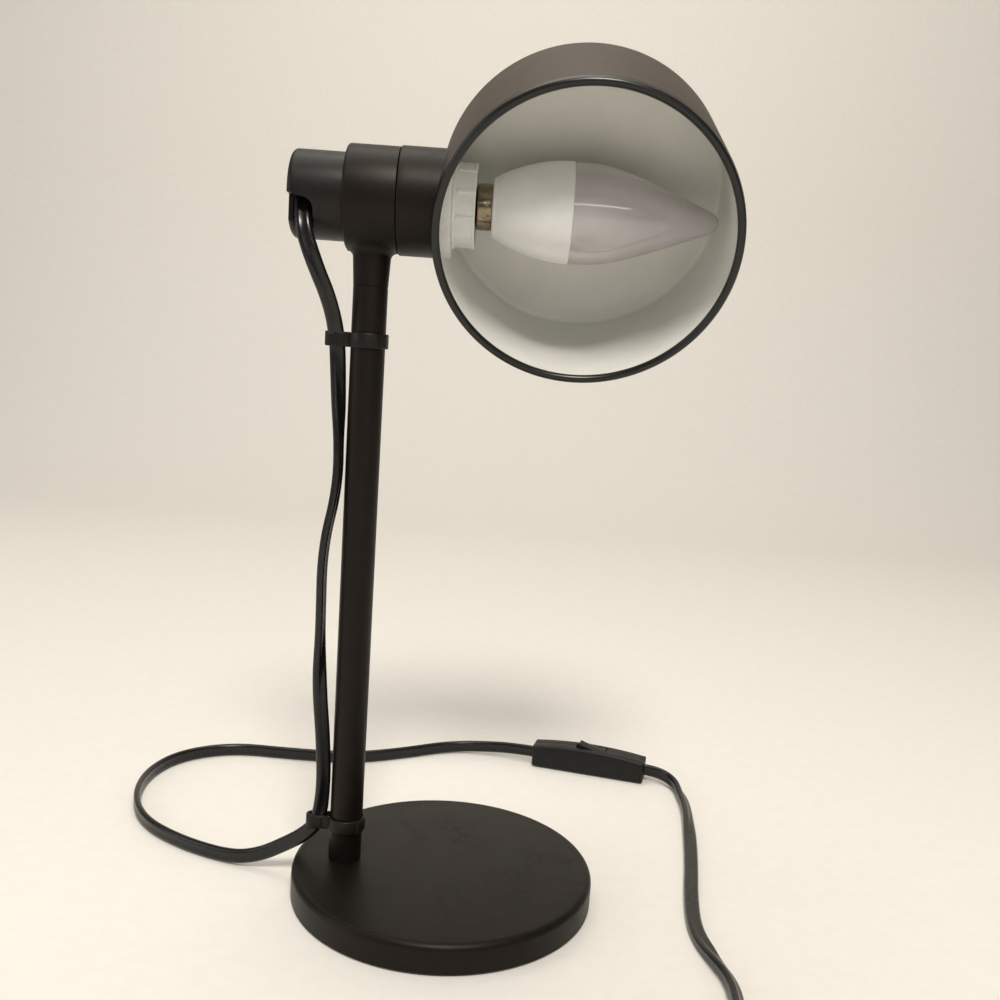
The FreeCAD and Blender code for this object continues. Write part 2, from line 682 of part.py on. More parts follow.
def bulb_housing():
    """White flared housing of the candle bulb."""
    back = 1.4
    start = (HOUSING_START, HOUSING_START_RADIUS - 1.0)
    outer_mid, inner_mid = (56.6, 15.45), (56.9, 15.45 - BULB_WALL)
    return barrel_turned(
        (HOUSING_START, 5.0), start, ((HOUSING_START + 0.3, start[1] + 0.7), (HOUSING_START + 1.0, start[1] + 1.1)),
        (outer_mid, (BULB_SEAM, BULB_RADIUS)), (BULB_SEAM, BULB_RADIUS - BULB_WALL),
        (inner_mid, (HOUSING_START + back, start[1] - 0.3)), (HOUSING_START + back, 5.0))


def diffuser_profile(inset):
    """Outline of the candle-shaped diffuser, set in by inset, as (along, radius) control points."""
    return [(BULB_SEAM, DIFFUSER_RADIUS - inset), (83.5, 18.9 - inset), (97.0, 14.9 - inset),
            (112.5, 9.0 - inset), (122.5, 5.0 - inset * 0.8), (BULB_TIP - inset, 3.0 - inset), (BULB_TIP - inset, 0)]


def bulb_diffuser():
    """Frosted candle-shaped cover, hollow."""
    edges = []
    ends = []
    for inset in (0.0, 1.0):
        curve = Part.BSplineCurve()
        poles = [on_barrel(*p) for p in diffuser_profile(inset)]
        knots = len(poles) - 2
        curve.buildFromPolesMultsKnots(poles, [4] + [1] * (knots - 2) + [4], list(range(knots)), False, 3)
        edges.append(curve.toShape())
        ends.append((poles[0], poles[-1]))
    edges.append(Part.makeLine(ends[0][0], ends[1][0]))
    edges.append(Part.makeLine(ends[0][1], ends[1][1]))
    face = Part.Face(Part.Wire(Part.__sortEdges__(edges)))
    return face.revolve(on_barrel(0, 0), X_AXIS, 360)


def bulb_led_board():
    """Round board with its light emitters."""
    board = barrel_ring(15.6, 0, LED_BOARD_X, LED_BOARD_X + 1.2)
    emitters = []
    count = 8
    for index in range(count):
        chip = box((STEM_X + LED_BOARD_X + 1.1, -1.4, BARREL_Z + 8.6), (STEM_X + LED_BOARD_X + 1.9, 1.4, BARREL_Z + 11.4))
        chip.rotate(on_barrel(0, 0), X_AXIS, index * 360 / count)
        emitters.append(chip)
    return board.fuse(emitters).removeSplitter()


def bulb_driver_board():
    """Driver board with its larger components."""
    board = box((STEM_X + 46.5, -7.0, BARREL_Z - 0.8), (STEM_X + 69.5, 7.0, BARREL_Z + 0.8))
    capacitor = Part.makeCylinder(3.6, 12, Vector(STEM_X + 52, -1.0, BARREL_Z + 4.2), X_AXIS)
    coil = Part.makeCylinder(3.4, 5, Vector(STEM_X + 63, 0.5, BARREL_Z - 5.6), Z_AXIS)
    return board.fuse([capacitor, coil]).removeSplitter()


# ---------------------------------------------------------------------------------------------------------------
# Cord clips
# ---------------------------------------------------------------------------------------------------------------
def stadium(centre_x, centre_y, half_length, half_width, bottom, top):
    """Upright prism with two parallel sides and round ends, its long axis along X."""
    straight = half_length - half_width
    middle = box((centre_x - straight, centre_y - half_width, bottom),
                 (centre_x + straight, centre_y + half_width, top))
    ends = [Part.makeCylinder(half_width, top - bottom, Vector(centre_x + side * straight, centre_y, bottom))
            for side in (-1, 1)]
    return middle.fuse(ends).removeSplitter()


def cord_clip(centre_z):
    """Springy band: a large loop round the stem and a small one for the cord."""
    bottom, top = centre_z - CLIP_HEIGHT / 2, centre_z + CLIP_HEIGHT / 2
    inner = STEM_RADIUS + 0.03
    outer = inner + CLIP_WALL
    cord_x = STEM_X + CLIP_CORD_CENTRE
    slot_half = (3.3, 1.75)
    band = upright_ring(STEM_X, outer, 0, bottom, top)
    loop = stadium(cord_x, 0, slot_half[0] + CLIP_WALL, slot_half[1] + CLIP_WALL, bottom, top)
    web = box((cord_x, -1.9, bottom), (STEM_X, 1.9, top))
    ridge = box((STEM_X + outer - 0.4, -0.7, bottom), (STEM_X + outer + 0.7, 0.7, top))
    ridge.rotate(Vector(STEM_X, 0, 0), Z_AXIS, -38)
    clip = band.fuse([loop, web, ridge]).removeSplitter()
    clip = clip.cut(upright_ring(STEM_X, inner, 0, bottom - 1, top + 1))
    return clip.cut(stadium(cord_x, 0, slot_half[0], slot_half[1], bottom - 1, top + 1))


# ---------------------------------------------------------------------------------------------------------------
# Cord
# ---------------------------------------------------------------------------------------------------------------
def cord_tube(name, points, diameter):
    """Round tube along straight runs with tangent arcs at the corners."""
    corners = [Vector(*p) for p in points]
    runs = [corners[i + 1].sub(corners[i]) for i in range(len(corners) - 1)]
    edges = []
    radii = []
    here = corners[0]
    for index in range(1, len(corners) - 1):
        before, after = runs[index - 1], runs[index]
        turn = before.getAngle(after)
        shorter = min(before.Length, after.Length)
        trim = 0.45 * shorter
        radius = trim / math.tan(turn / 2)
        radii.append(radius)
        first = corners[index] - Vector(before).normalize() * trim
        last = corners[index] + Vector(after).normalize() * trim
        bisector = (Vector(after).normalize() - Vector(before).normalize()).normalize()
        middle = corners[index] + bisector * (radius / math.cos(turn / 2) - radius)
        edges.append(Part.makeLine(here, first))
        edges.append(Part.Arc(first, middle, last).toShape())
        here = last
    edges.append(Part.makeLine(here, corners[-1]))
    path = Part.Wire(edges)
    circle = Part.Circle(corners[0], runs[0], diameter / 2)
    pipe = Part.BRepOffsetAPI.MakePipeShell(path)
    pipe.add(Part.Wire(circle.toShape()))
    pipe.build()
    pipe.makeSolid()
    tube = pipe.shape()
    expected = math.pi * diameter ** 2 / 4 * path.Length
    print(f"{name}: length {path.Length:.0f}, tightest radius {min(radii):.0f}, "
          f"volume ratio {tube.Volume / expected:.4f}, lowest {tube.optimalBoundingBox().ZMin:.2f}")
    return tube


def cord_coil():
    """Outer shape of the coil that holds the spare length."""
    centre = Vector(COIL_CENTRE[0], COIL_CENTRE[1], 0)
    turn = 3.0
    inner, outer = COIL_MID_RADIUS - COIL_BAND / 2, COIL_MID_RADIUS + COIL_BAND / 2
    ring = Part.makeCylinder(outer, COIL_BAND, centre).cut(Part.makeCylinder(inner, COIL_BAND, centre))
    return rounded(ring, turn, lambda edge: edge.Length > 2 * math.pi * inner - 1)


def cord_tie():
    """Band that holds the coil's turns together, on the side toward the plug."""
    middle = COIL_CENTRE[0] - COIL_MID_RADIUS
    half, low_y, high_y = COIL_BAND / 2, COIL_CENTRE[1] - TIE_WIDTH / 2, COIL_CENTRE[1] + TIE_WIDTH / 2
    outside = box((middle - half - TIE_WALL, low_y, 0), (middle + half + TIE_WALL, high_y, COIL_BAND + TIE_WALL))
    inside = box((middle - half, low_y - 1, TIE_WALL), (middle + half, high_y + 1, COIL_BAND))
    return outside.cut(inside)


# ---------------------------------------------------------------------------------------------------------------
# Inline switch
# ---------------------------------------------------------------------------------------------------------------
def placed_switch(shape):
    """Copy of a shape, moved from the switch's own frame to its place on the table."""
    moved = shape.copy()
    moved.rotate(Vector(0, 0, 0), Z_AXIS, SWITCH_HEADING)
    moved.translate(Vector(SWITCH_CENTRE[0], SWITCH_CENTRE[1], SWITCH_FLOOR))
    return moved


def switch_block(inset, front, back):
    """Crowned block of the switch's outline, set in by inset, between two planes across its width."""
    half = SWITCH_LENGTH / 2 - inset
    low, end, crown = inset, SWITCH_END_HEIGHT - inset, SWITCH_CROWN - inset
    face = outline(lambda p: Vector(p[0], front, p[1]), (-half, low), (half, low), (half, end),
                   ((0, crown), (-half, end)))
    return face.extrude(Vector(0, back - front, 0))


def rocker_window():
    """Opening in the top of the shells that the rocker stands in."""
    half, half_width = ROCKER_LENGTH / 2 + ROCKER_END_GAP, ROCKER_WIDTH / 2 + ROCKER_SIDE_GAP
    return box((ROCKER_OFFSET - half, -half_width, ROCKER_PIVOT_Z - 1.0),
               (ROCKER_OFFSET + half, half_width, SWITCH_CROWN + 2))


def switch_shell(side):
    """One half of the switch case; side is -1 for the front half and 1 for the back half."""
    face_y = side * SWITCH_WIDTH / 2
    seam_y = side * 0.03
    front, back = min(face_y, seam_y), max(face_y, seam_y)
    block = switch_block(0, front, back)
    block = rounded(block, 1.4, lambda edge: abs(edge.CenterOfMass.y - face_y) < 0.01)
    inner_face = face_y - side * SWITCH_WALL
    hollow = switch_block(SWITCH_WALL, min(inner_face, 0), max(inner_face, 0))
    shell = block.cut(hollow).cut(rocker_window())
    reach, slot_low = SWITCH_LENGTH / 2, SWITCH_CORD_Z - SWITCH_FLOOR - SWITCH_MOUTH[1]
    for end in (-1, 1):
        mouth_start, mouth_end = sorted((end * (reach - 3), end * (reach + 1)))
        shell = shell.cut(box((mouth_start, -SWITCH_MOUTH[0], slot_low),
                              (mouth_end, SWITCH_MOUTH[0], slot_low + 2 * SWITCH_MOUTH[1])))
        foot = Vector(end * CASE_SCREW_X, 0, CASE_SCREW_Z)
        shell = shell.fuse(Part.makeCylinder(CASE_POST_RADIUS, SWITCH_WIDTH / 2 - 1.0, foot, Y_AXIS * side))
        shell = shell.cut(Part.makeCylinder(CASE_SCREW_RADIUS + 0.05, 20, foot - Y_AXIS * 4.6, Y_AXIS))
    near, far = sorted((side * (ROCKER_WIDTH / 2 + ROCKER_SIDE_GAP), side * (SWITCH_WIDTH / 2 - 0.5)))
    shell = shell.fuse(box((ROCKER_OFFSET - BEARING_HALF, near, SWITCH_WALL),
                           (ROCKER_OFFSET + BEARING_HALF, far, ROCKER_PIVOT_Z + 1.6)))
    pivot = Part.makeCylinder(ROCKER_PIN_RADIUS + RUNNING_CLEARANCE, 2 * (ROCKER_PIN_REACH + 0.2),
                              Vector(ROCKER_OFFSET, -ROCKER_PIN_REACH - 0.2, ROCKER_PIVOT_Z), Y_AXIS)
    return placed_switch(shell.cut(pivot).removeSplitter())


def switch_rocker():
    """Rocker with a low saddle between its two ends, on pins that sit in the shells."""
    half, low = ROCKER_LENGTH / 2, ROCKER_PIVOT_Z - 2.0
    tip, saddle = SWITCH_CROWN + 1.3, SWITCH_CROWN + 0.4
    shoulder, lip = ROCKER_PIVOT_Z + 1.6, tip - 0.5
    face = outline(lambda p: Vector(ROCKER_OFFSET + p[0], -ROCKER_WIDTH / 2, p[1]),
                   (-2.5, low), (2.5, low), (half, shoulder), (half, lip), (half - 0.8, tip),
                   ((0, saddle), (0.8 - half, tip)), (-half, lip), (-half, shoulder))
    body = face.extrude(Vector(0, ROCKER_WIDTH, 0))
    pins = Part.makeCylinder(ROCKER_PIN_RADIUS, 2 * ROCKER_PIN_REACH,
                             Vector(ROCKER_OFFSET, -ROCKER_PIN_REACH, ROCKER_PIVOT_Z), Y_AXIS)
    rocker = body.fuse(pins).removeSplitter()
    rocker.rotate(Vector(ROCKER_OFFSET, 0, ROCKER_PIVOT_Z), Y_AXIS, ROCKER_TILT)
    return placed_switch(rocker)


def switch_contacts():
    """Two brass strips that carry the current through the switch."""
    near, far = CONTACT_SPAN
    low, half_width, thickness = CONTACT_LOW, 3.4, 0.6
    strips = []
    for end in (-1, 1):
        first, last = sorted((end * near, end * far))
        foot = box((first, -half_width, low), (last, half_width, low + thickness))
        inner, outer = sorted((end * near, end * (near + thickness)))
        upright = box((inner, -half_width, low + thickness), (outer, half_width, low + CONTACT_HEIGHT))
        strips.append(placed_switch(foot.fuse(upright).removeSplitter()))
    return group(strips)


def switch_case_screws():
    """Two screws that hold the shells together, with their heads in the back shell."""
    return group([placed_switch(Part.makeCylinder(
        CASE_SCREW_RADIUS, 9.6, Vector(end * CASE_SCREW_X, -4.4, CASE_SCREW_Z), Y_AXIS)) for end in (-1, 1)])


# ---------------------------------------------------------------------------------------------------------------
# Mains plug
# ---------------------------------------------------------------------------------------------------------------
def plug_body():
    """Moulded two-blade plug body, tapered toward the cord."""
    length, width, height = PLUG_BODY
    centre_x, centre_y = PLUG_CENTRE
    front_x, rear_x = centre_x - length / 2, centre_x + length / 2
    half, rear_half, shoulder = width / 2, 5.0, rear_x - 11.0
    face = outline(lambda p: Vector(p[0], centre_y + p[1], PLUG_FLOOR),
                   (front_x, -half), (shoulder, -half), (rear_x, -rear_half), (rear_x, rear_half),
                   (shoulder, half), (front_x, half))
    body = face.extrude(Vector(0, 0, height - PLUG_FLOOR))
    return rounded(body, PLUG_EDGE,
                   lambda edge: edge.BoundBox.ZLength > height - 1 or edge.BoundBox.ZMin > height - 0.5)


def plug_strain_relief():
    """Ribbed taper between the plug and its cord."""
    start = Vector(PLUG_CENTRE[0] + PLUG_BODY[0] / 2, PLUG_CENTRE[1], PLUG_BODY[2] / 2)
    wide, narrow = RELIEF_RADII
    relief = Part.makeCone(wide, narrow, RELIEF_LENGTH, start, X_AXIS)
    for index in range(RELIEF_GROOVES):
        place = start + X_AXIS * (4.0 + index * GROOVE_SPACING)
        groove = Part.makeCylinder(wide + 1, GROOVE_WIDTH, place, X_AXIS)
        core = Part.makeCylinder(narrow - 0.5, GROOVE_WIDTH, place, X_AXIS)
        relief = relief.cut(groove.cut(core))
    return relief


def plug_blades():
    """Two flat blades."""
    front_x = PLUG_CENTRE[0] - PLUG_BODY[0] / 2
    middle_z, half_width, half_thickness = PLUG_BODY[2] / 2, BLADE_WIDTH / 2, BLADE_THICKNESS / 2
    middles = [PLUG_CENTRE[1] + side * BLADE_SPACING / 2 for side in (-1, 1)]
    return group([box((front_x - BLADE_LENGTH, middle_y - half_thickness, middle_z - half_width),
                      (front_x, middle_y + half_thickness, middle_z + half_width)) for middle_y in middles])


# ---------------------------------------------------------------------------------------------------------------
# Output
# ---------------------------------------------------------------------------------------------------------------
PARTS = {
    "base_cover": base_cover,
    "base_weight": base_weight,
    "base_pad": base_pad,
    "stem_tube": stem_tube,
    "stem_foot_stud": stem_foot_stud,
    "foot_washer": foot_washer,
    "foot_nut": foot_nut,
    "stem_top_insert": stem_top_insert,
    "neck_nipple": neck_nipple,
    "tee_housing": tee_housing,
    "turn_stop_pin": turn_stop_pin,
    "plug_set_screw": plug_set_screw,
    "rear_plug": rear_plug,
    "cord_grip": cord_grip,
    "cord_grip_screws": cord_grip_screws,
    "tee_wires": tee_wires,
    "friction_disc": friction_disc,
    "friction_washer": friction_washer,
    "swivel_nipple": swivel_nipple,
    "spring_washer": spring_washer,
    "swivel_nuts": swivel_nuts,
    "swivel_sleeve": swivel_sleeve,
    "sleeve_nut": sleeve_nut,
    "shade_shell": shade_shell,
    "holder_flange": holder_flange,
    "shade_ring_nut": shade_ring_nut,
    "lamp_holder_body": lamp_holder_body,
    "holder_thread_shell": holder_thread_shell,
    "holder_centre_contact": holder_centre_contact,
    "holder_terminal_screws": holder_terminal_screws,
    "holder_wires": holder_wires,
    "bulb_cap": bulb_cap,
    "bulb_insulator": bulb_insulator,
    "bulb_contact": bulb_contact,
    "bulb_housing": bulb_housing,
    "bulb_diffuser": bulb_diffuser,
    "bulb_led_board": bulb_led_board,
    "bulb_driver_board": bulb_driver_board,
    "upper_cord_clip": lambda: cord_clip(UPPER_CLIP_Z),
    "lower_cord_clip": lambda: cord_clip(LOWER_CLIP_Z),
    "cord_lamp_side": lambda: cord_tube("cord_lamp_side", LAMP_SIDE_ROUTE, CORD_TUBE),
    "cord_plug_side": lambda: cord_tube("cord_plug_side", PLUG_SIDE_ROUTE, CORD_TUBE),
    "cord_tail": lambda: cord_tube("cord_tail", TAIL_ROUTE, CORD_TUBE),
    "cord_coil": cord_coil,
    "cord_tie": cord_tie,
    "switch_front_shell": lambda: switch_shell(-1),
    "switch_back_shell": lambda: switch_shell(1),
    "switch_rocker": switch_rocker,
    "switch_contacts": switch_contacts,
    "switch_case_screws": switch_case_screws,
    "plug_body": plug_body,
    "plug_strain_relief": plug_strain_relief,
    "plug_blades": plug_blades,
}


def main():
    """Builds every piece and writes it to its own file."""
    os.makedirs("parts", exist_ok=True)
    for name, build in PARTS.items():
        shape = build()
        solids = shape.Solids
        if not shape.isValid() or not solids:
            print("problem", name, shape.isValid(), len(solids))
        shape.exportStep(os.path.join("parts", name + ".step"))
        print(f"{name}: {len(solids)} solid(s), {shape.Volume:.1f} mm3")


main()
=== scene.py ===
"""The visible desk lamp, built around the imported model: finishes, cords, rounded housings, bulb, switch and plug."""

import json
import logging
import math
from collections.abc import Callable, Sequence
from dataclasses import dataclass
from enum import Enum

import bmesh
import bpy
import numpy as np
from mathutils import Matrix, Vector


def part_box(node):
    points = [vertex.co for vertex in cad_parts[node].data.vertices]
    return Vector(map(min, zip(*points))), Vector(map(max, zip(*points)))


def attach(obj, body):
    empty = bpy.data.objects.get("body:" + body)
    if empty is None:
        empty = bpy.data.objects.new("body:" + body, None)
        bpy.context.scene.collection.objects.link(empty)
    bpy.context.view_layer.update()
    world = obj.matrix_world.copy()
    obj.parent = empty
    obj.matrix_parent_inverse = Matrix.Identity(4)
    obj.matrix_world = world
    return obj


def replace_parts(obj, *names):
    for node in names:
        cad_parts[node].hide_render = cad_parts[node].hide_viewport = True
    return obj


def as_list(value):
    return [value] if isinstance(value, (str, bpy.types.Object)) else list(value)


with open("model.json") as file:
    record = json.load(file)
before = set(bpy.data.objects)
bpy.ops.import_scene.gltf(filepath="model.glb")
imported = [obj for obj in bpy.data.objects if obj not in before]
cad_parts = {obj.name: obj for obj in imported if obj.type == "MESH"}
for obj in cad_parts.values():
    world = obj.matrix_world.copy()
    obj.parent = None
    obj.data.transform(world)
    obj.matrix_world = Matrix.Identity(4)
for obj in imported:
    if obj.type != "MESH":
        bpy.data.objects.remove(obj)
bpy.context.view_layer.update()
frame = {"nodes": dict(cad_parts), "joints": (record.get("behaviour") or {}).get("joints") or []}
MM = 0.001

BARREL_PIVOT: tuple[float, float, float] = tuple(frame["joints"][0]["pos_m"])
SEAM_ANGLE = 32.0
MERGE_DISTANCE = 0.002 * MM
EMPTY_EDGE = 0.0001 * MM

log = logging.getLogger("lamp")
Colour = tuple[float, float, float]
Shape = Callable[[np.ndarray, np.ndarray, np.ndarray], tuple[np.ndarray, np.ndarray]]
Placer = Callable[[np.ndarray, np.ndarray, np.ndarray], np.ndarray]


class Body(Enum):
    """The rigid bodies that pieces ride on."""

    STAND = "stand"
    SHADE = "shade"
    BULB = "bulb"
    ROCKER = "rocker"


class Lay(Enum):
    """Which way the flat cord's broad side points; all zeros stands for level, square to the cord."""

    ON_EDGE = (0.0, 0.0, 1.0)
    LEANING = (-0.7, 0.0, 0.7)
    FLAT = (0.0, 0.0, 0.0)
    ACROSS = (1.0, 0.0, 0.0)
    HALF_TURNED = (0.82, 0.57, 0.0)
    EDGE_ON = (0.2, 1.0, 0.0)


# ---------------------------------------------------------------------------------------------------------------
# Node groups
# ---------------------------------------------------------------------------------------------------------------
class GroupKit:
    """Shader node groups that several finishes share, each built once."""

    def __init__(self) -> None:
        """Starts with no group built."""
        self.built: dict[str, bpy.types.NodeTree] = {}

    def start(self, name: str, inputs: Sequence[tuple[str, str, float]], outputs: Sequence[tuple[str, str]]
              ) -> tuple[bpy.types.NodeTree, bpy.types.Node, bpy.types.Node]:
        """Makes an empty group with its sockets.

        Args:
            name: the group's name.
            inputs: name, socket type and default of each input.
            outputs: name and socket type of each output.

        Returns:
            The tree, its input node and its output node.
        """
        tree = bpy.data.node_groups.new(name, "ShaderNodeTree")
        for label, kind, default in inputs:
            socket = tree.interface.new_socket(name=label, in_out="INPUT", socket_type=kind)
            if kind == "NodeSocketFloat":
                socket.default_value = default
        for label, kind in outputs:
            tree.interface.new_socket(name=label, in_out="OUTPUT", socket_type=kind)
        entry = tree.nodes.new("NodeGroupInput")
        leave = tree.nodes.new("NodeGroupOutput")
        self.built[name] = tree
        return tree, entry, leave

    def scaled(self, tree: bpy.types.NodeTree, entry: bpy.types.Node, factor: float) -> bpy.types.NodeSocket:
        """The input vector divided by the group's Size and times factor.

        Args:
            tree: the node tree that it is added to.
            entry: the group's input node.
            factor: how much finer than Size the pattern is.

        Returns:
            The scaled vector.
        """
        divide = tree.nodes.new("ShaderNodeMath")
        divide.operation = "DIVIDE"
        divide.inputs[0].default_value = factor
        tree.links.new(entry.outputs["Size"], divide.inputs[1])
        scale = tree.nodes.new("ShaderNodeVectorMath")
        scale.operation = "SCALE"
        tree.links.new(entry.outputs["Vector"], scale.inputs[0])
        tree.links.new(divide.outputs[0], scale.inputs["Scale"])
        return scale.outputs[0]

    def noise(self, tree: bpy.types.NodeTree, vector: bpy.types.NodeSocket, detail: float,
              distortion: float = 0.0) -> bpy.types.NodeSocket:
        """A noise texture on a vector that already has its scale.

        Args:
            tree: the node tree that it is added to.
            vector: where the noise is read, already scaled.
            detail: octaves of finer noise.
            distortion: how far the noise is pulled about.

        Returns:
            The noise, from 0 to 1.
        """
        node = tree.nodes.new("ShaderNodeTexNoise")
        node.inputs["Scale"].default_value = 1.0
        node.inputs["Detail"].default_value = detail
        node.inputs["Distortion"].default_value = distortion
        tree.links.new(vector, node.inputs["Vector"])
        return node.outputs["Fac"]

    def ranged(self, tree: bpy.types.NodeTree, value: bpy.types.NodeSocket, low: float,
               high: float) -> bpy.types.NodeSocket:
        """Value mapped smoothly from low..high to 0..1.

        Args:
            tree: the node tree that it is added to.
            value: what is mapped.
            low: what becomes 0.
            high: what becomes 1.

        Returns:
            The mapped value.
        """
        node = tree.nodes.new("ShaderNodeMapRange")
        node.interpolation_type = "SMOOTHSTEP"
        node.inputs["From Min"].default_value = low
        node.inputs["From Max"].default_value = high
        tree.links.new(value, node.inputs["Value"])
        return node.outputs["Result"]

    def times(self, tree: bpy.types.NodeTree, first: bpy.types.NodeSocket,
              second: bpy.types.NodeSocket) -> bpy.types.NodeSocket:
        """Product of two values.

        Args:
            tree: the node tree that it is added to.
            first: one value.
            second: the other value.

        Returns:
            Their product.
        """
        node = tree.nodes.new("ShaderNodeMath")
        node.operation = "MULTIPLY"
        tree.links.new(first, node.inputs[0])
        tree.links.new(second, node.inputs[1])
        return node.outputs[0]

    def grain(self) -> bpy.types.NodeTree:
        """Fine paint or moulding texture: two sizes of noise, as Height and as a broad Tone.

        Returns:
            The group.
        """
        if "surface_grain" in self.built:
            return self.built["surface_grain"]
        tree, entry, leave = self.start(
            "surface_grain", [("Vector", "NodeSocketVector", 0.0), ("Size", "NodeSocketFloat", MM)],
            [("Height", "NodeSocketFloat"), ("Tone", "NodeSocketFloat")])
        fine = self.noise(tree, self.scaled(tree, entry, 1.0), 3.0)
        broad = self.noise(tree, self.scaled(tree, entry, 0.05), 4.0, 0.4)
        tree.links.new(fine, leave.inputs["Height"])
        tree.links.new(self.ranged(tree, broad, 0.35, 0.65), leave.inputs["Tone"])
        return tree

    def marks(self) -> bpy.types.NodeTree:
        """Smudges from handling: soft patches broken up by a finer noise, as Mask.

        Returns:
            The group.
        """
        if "handling_marks" in self.built:
            return self.built["handling_marks"]
        tree, entry, leave = self.start(
            "handling_marks", [("Vector", "NodeSocketVector", 0.0), ("Size", "NodeSocketFloat", 20 * MM)],
            [("Mask", "NodeSocketFloat")])
        patch = self.ranged(tree, self.noise(tree, self.scaled(tree, entry, 1.0), 2.0, 0.8), 0.48, 0.68)
        broken = self.ranged(tree, self.noise(tree, self.scaled(tree, entry, 9.0), 3.0), 0.3, 0.7)
        tree.links.new(self.times(tree, patch, broken), leave.inputs["Mask"])
        return tree

    def dust(self) -> bpy.types.NodeTree:
        """Dust that settles on faces that look up, as Mask: the normal's height times specks of noise.

        Returns:
            The group.
        """
        if "settled_dust" in self.built:
            return self.built["settled_dust"]
        tree, entry, leave = self.start(
            "settled_dust", [("Vector", "NodeSocketVector", 0.0), ("Size", "NodeSocketFloat", 0.6 * MM)],
            [("Mask", "NodeSocketFloat")])
        geometry = tree.nodes.new("ShaderNodeNewGeometry")
        split = tree.nodes.new("ShaderNodeSeparateXYZ")
        tree.links.new(geometry.outputs["Normal"], split.inputs[0])
        upward = self.ranged(tree, split.outputs["Z"], 0.55, 1.0)
        specks = self.ranged(tree, self.noise(tree, self.scaled(tree, entry, 1.0), 2.0), 0.62, 0.74)
        tree.links.new(self.times(tree, upward, specks), leave.inputs["Mask"])
        return tree

    def drawn(self) -> bpy.types.NodeTree:
        """Fine lines drawn along a metal's working direction, as Height: noise on a stretched vector.

        Returns:
            The group.
        """
        if "drawn_lines" in self.built:
            return self.built["drawn_lines"]
        tree, entry, leave = self.start(
            "drawn_lines", [("Vector", "NodeSocketVector", 0.0), ("Size", "NodeSocketFloat", 0.2 * MM)],
            [("Height", "NodeSocketFloat")])
        stretch = tree.nodes.new("ShaderNodeVectorMath")
        stretch.operation = "MULTIPLY"
        stretch.inputs[1].default_value = (1.0, 0.04, 0.04)
        tree.links.new(self.scaled(tree, entry, 1.0), stretch.inputs[0])
        tree.links.new(self.noise(tree, stretch.outputs[0], 3.0), leave.inputs["Height"])
        return tree


GROUPS = GroupKit()
DUST_SPECK = 0.7 * MM
DUST_COLOUR: Colour = (0.35, 0.33, 0.3)
SCATTER_DEPTH = 4 * MM
SCATTER_COLOUR: Colour = (1.0, 0.9, 0.85)


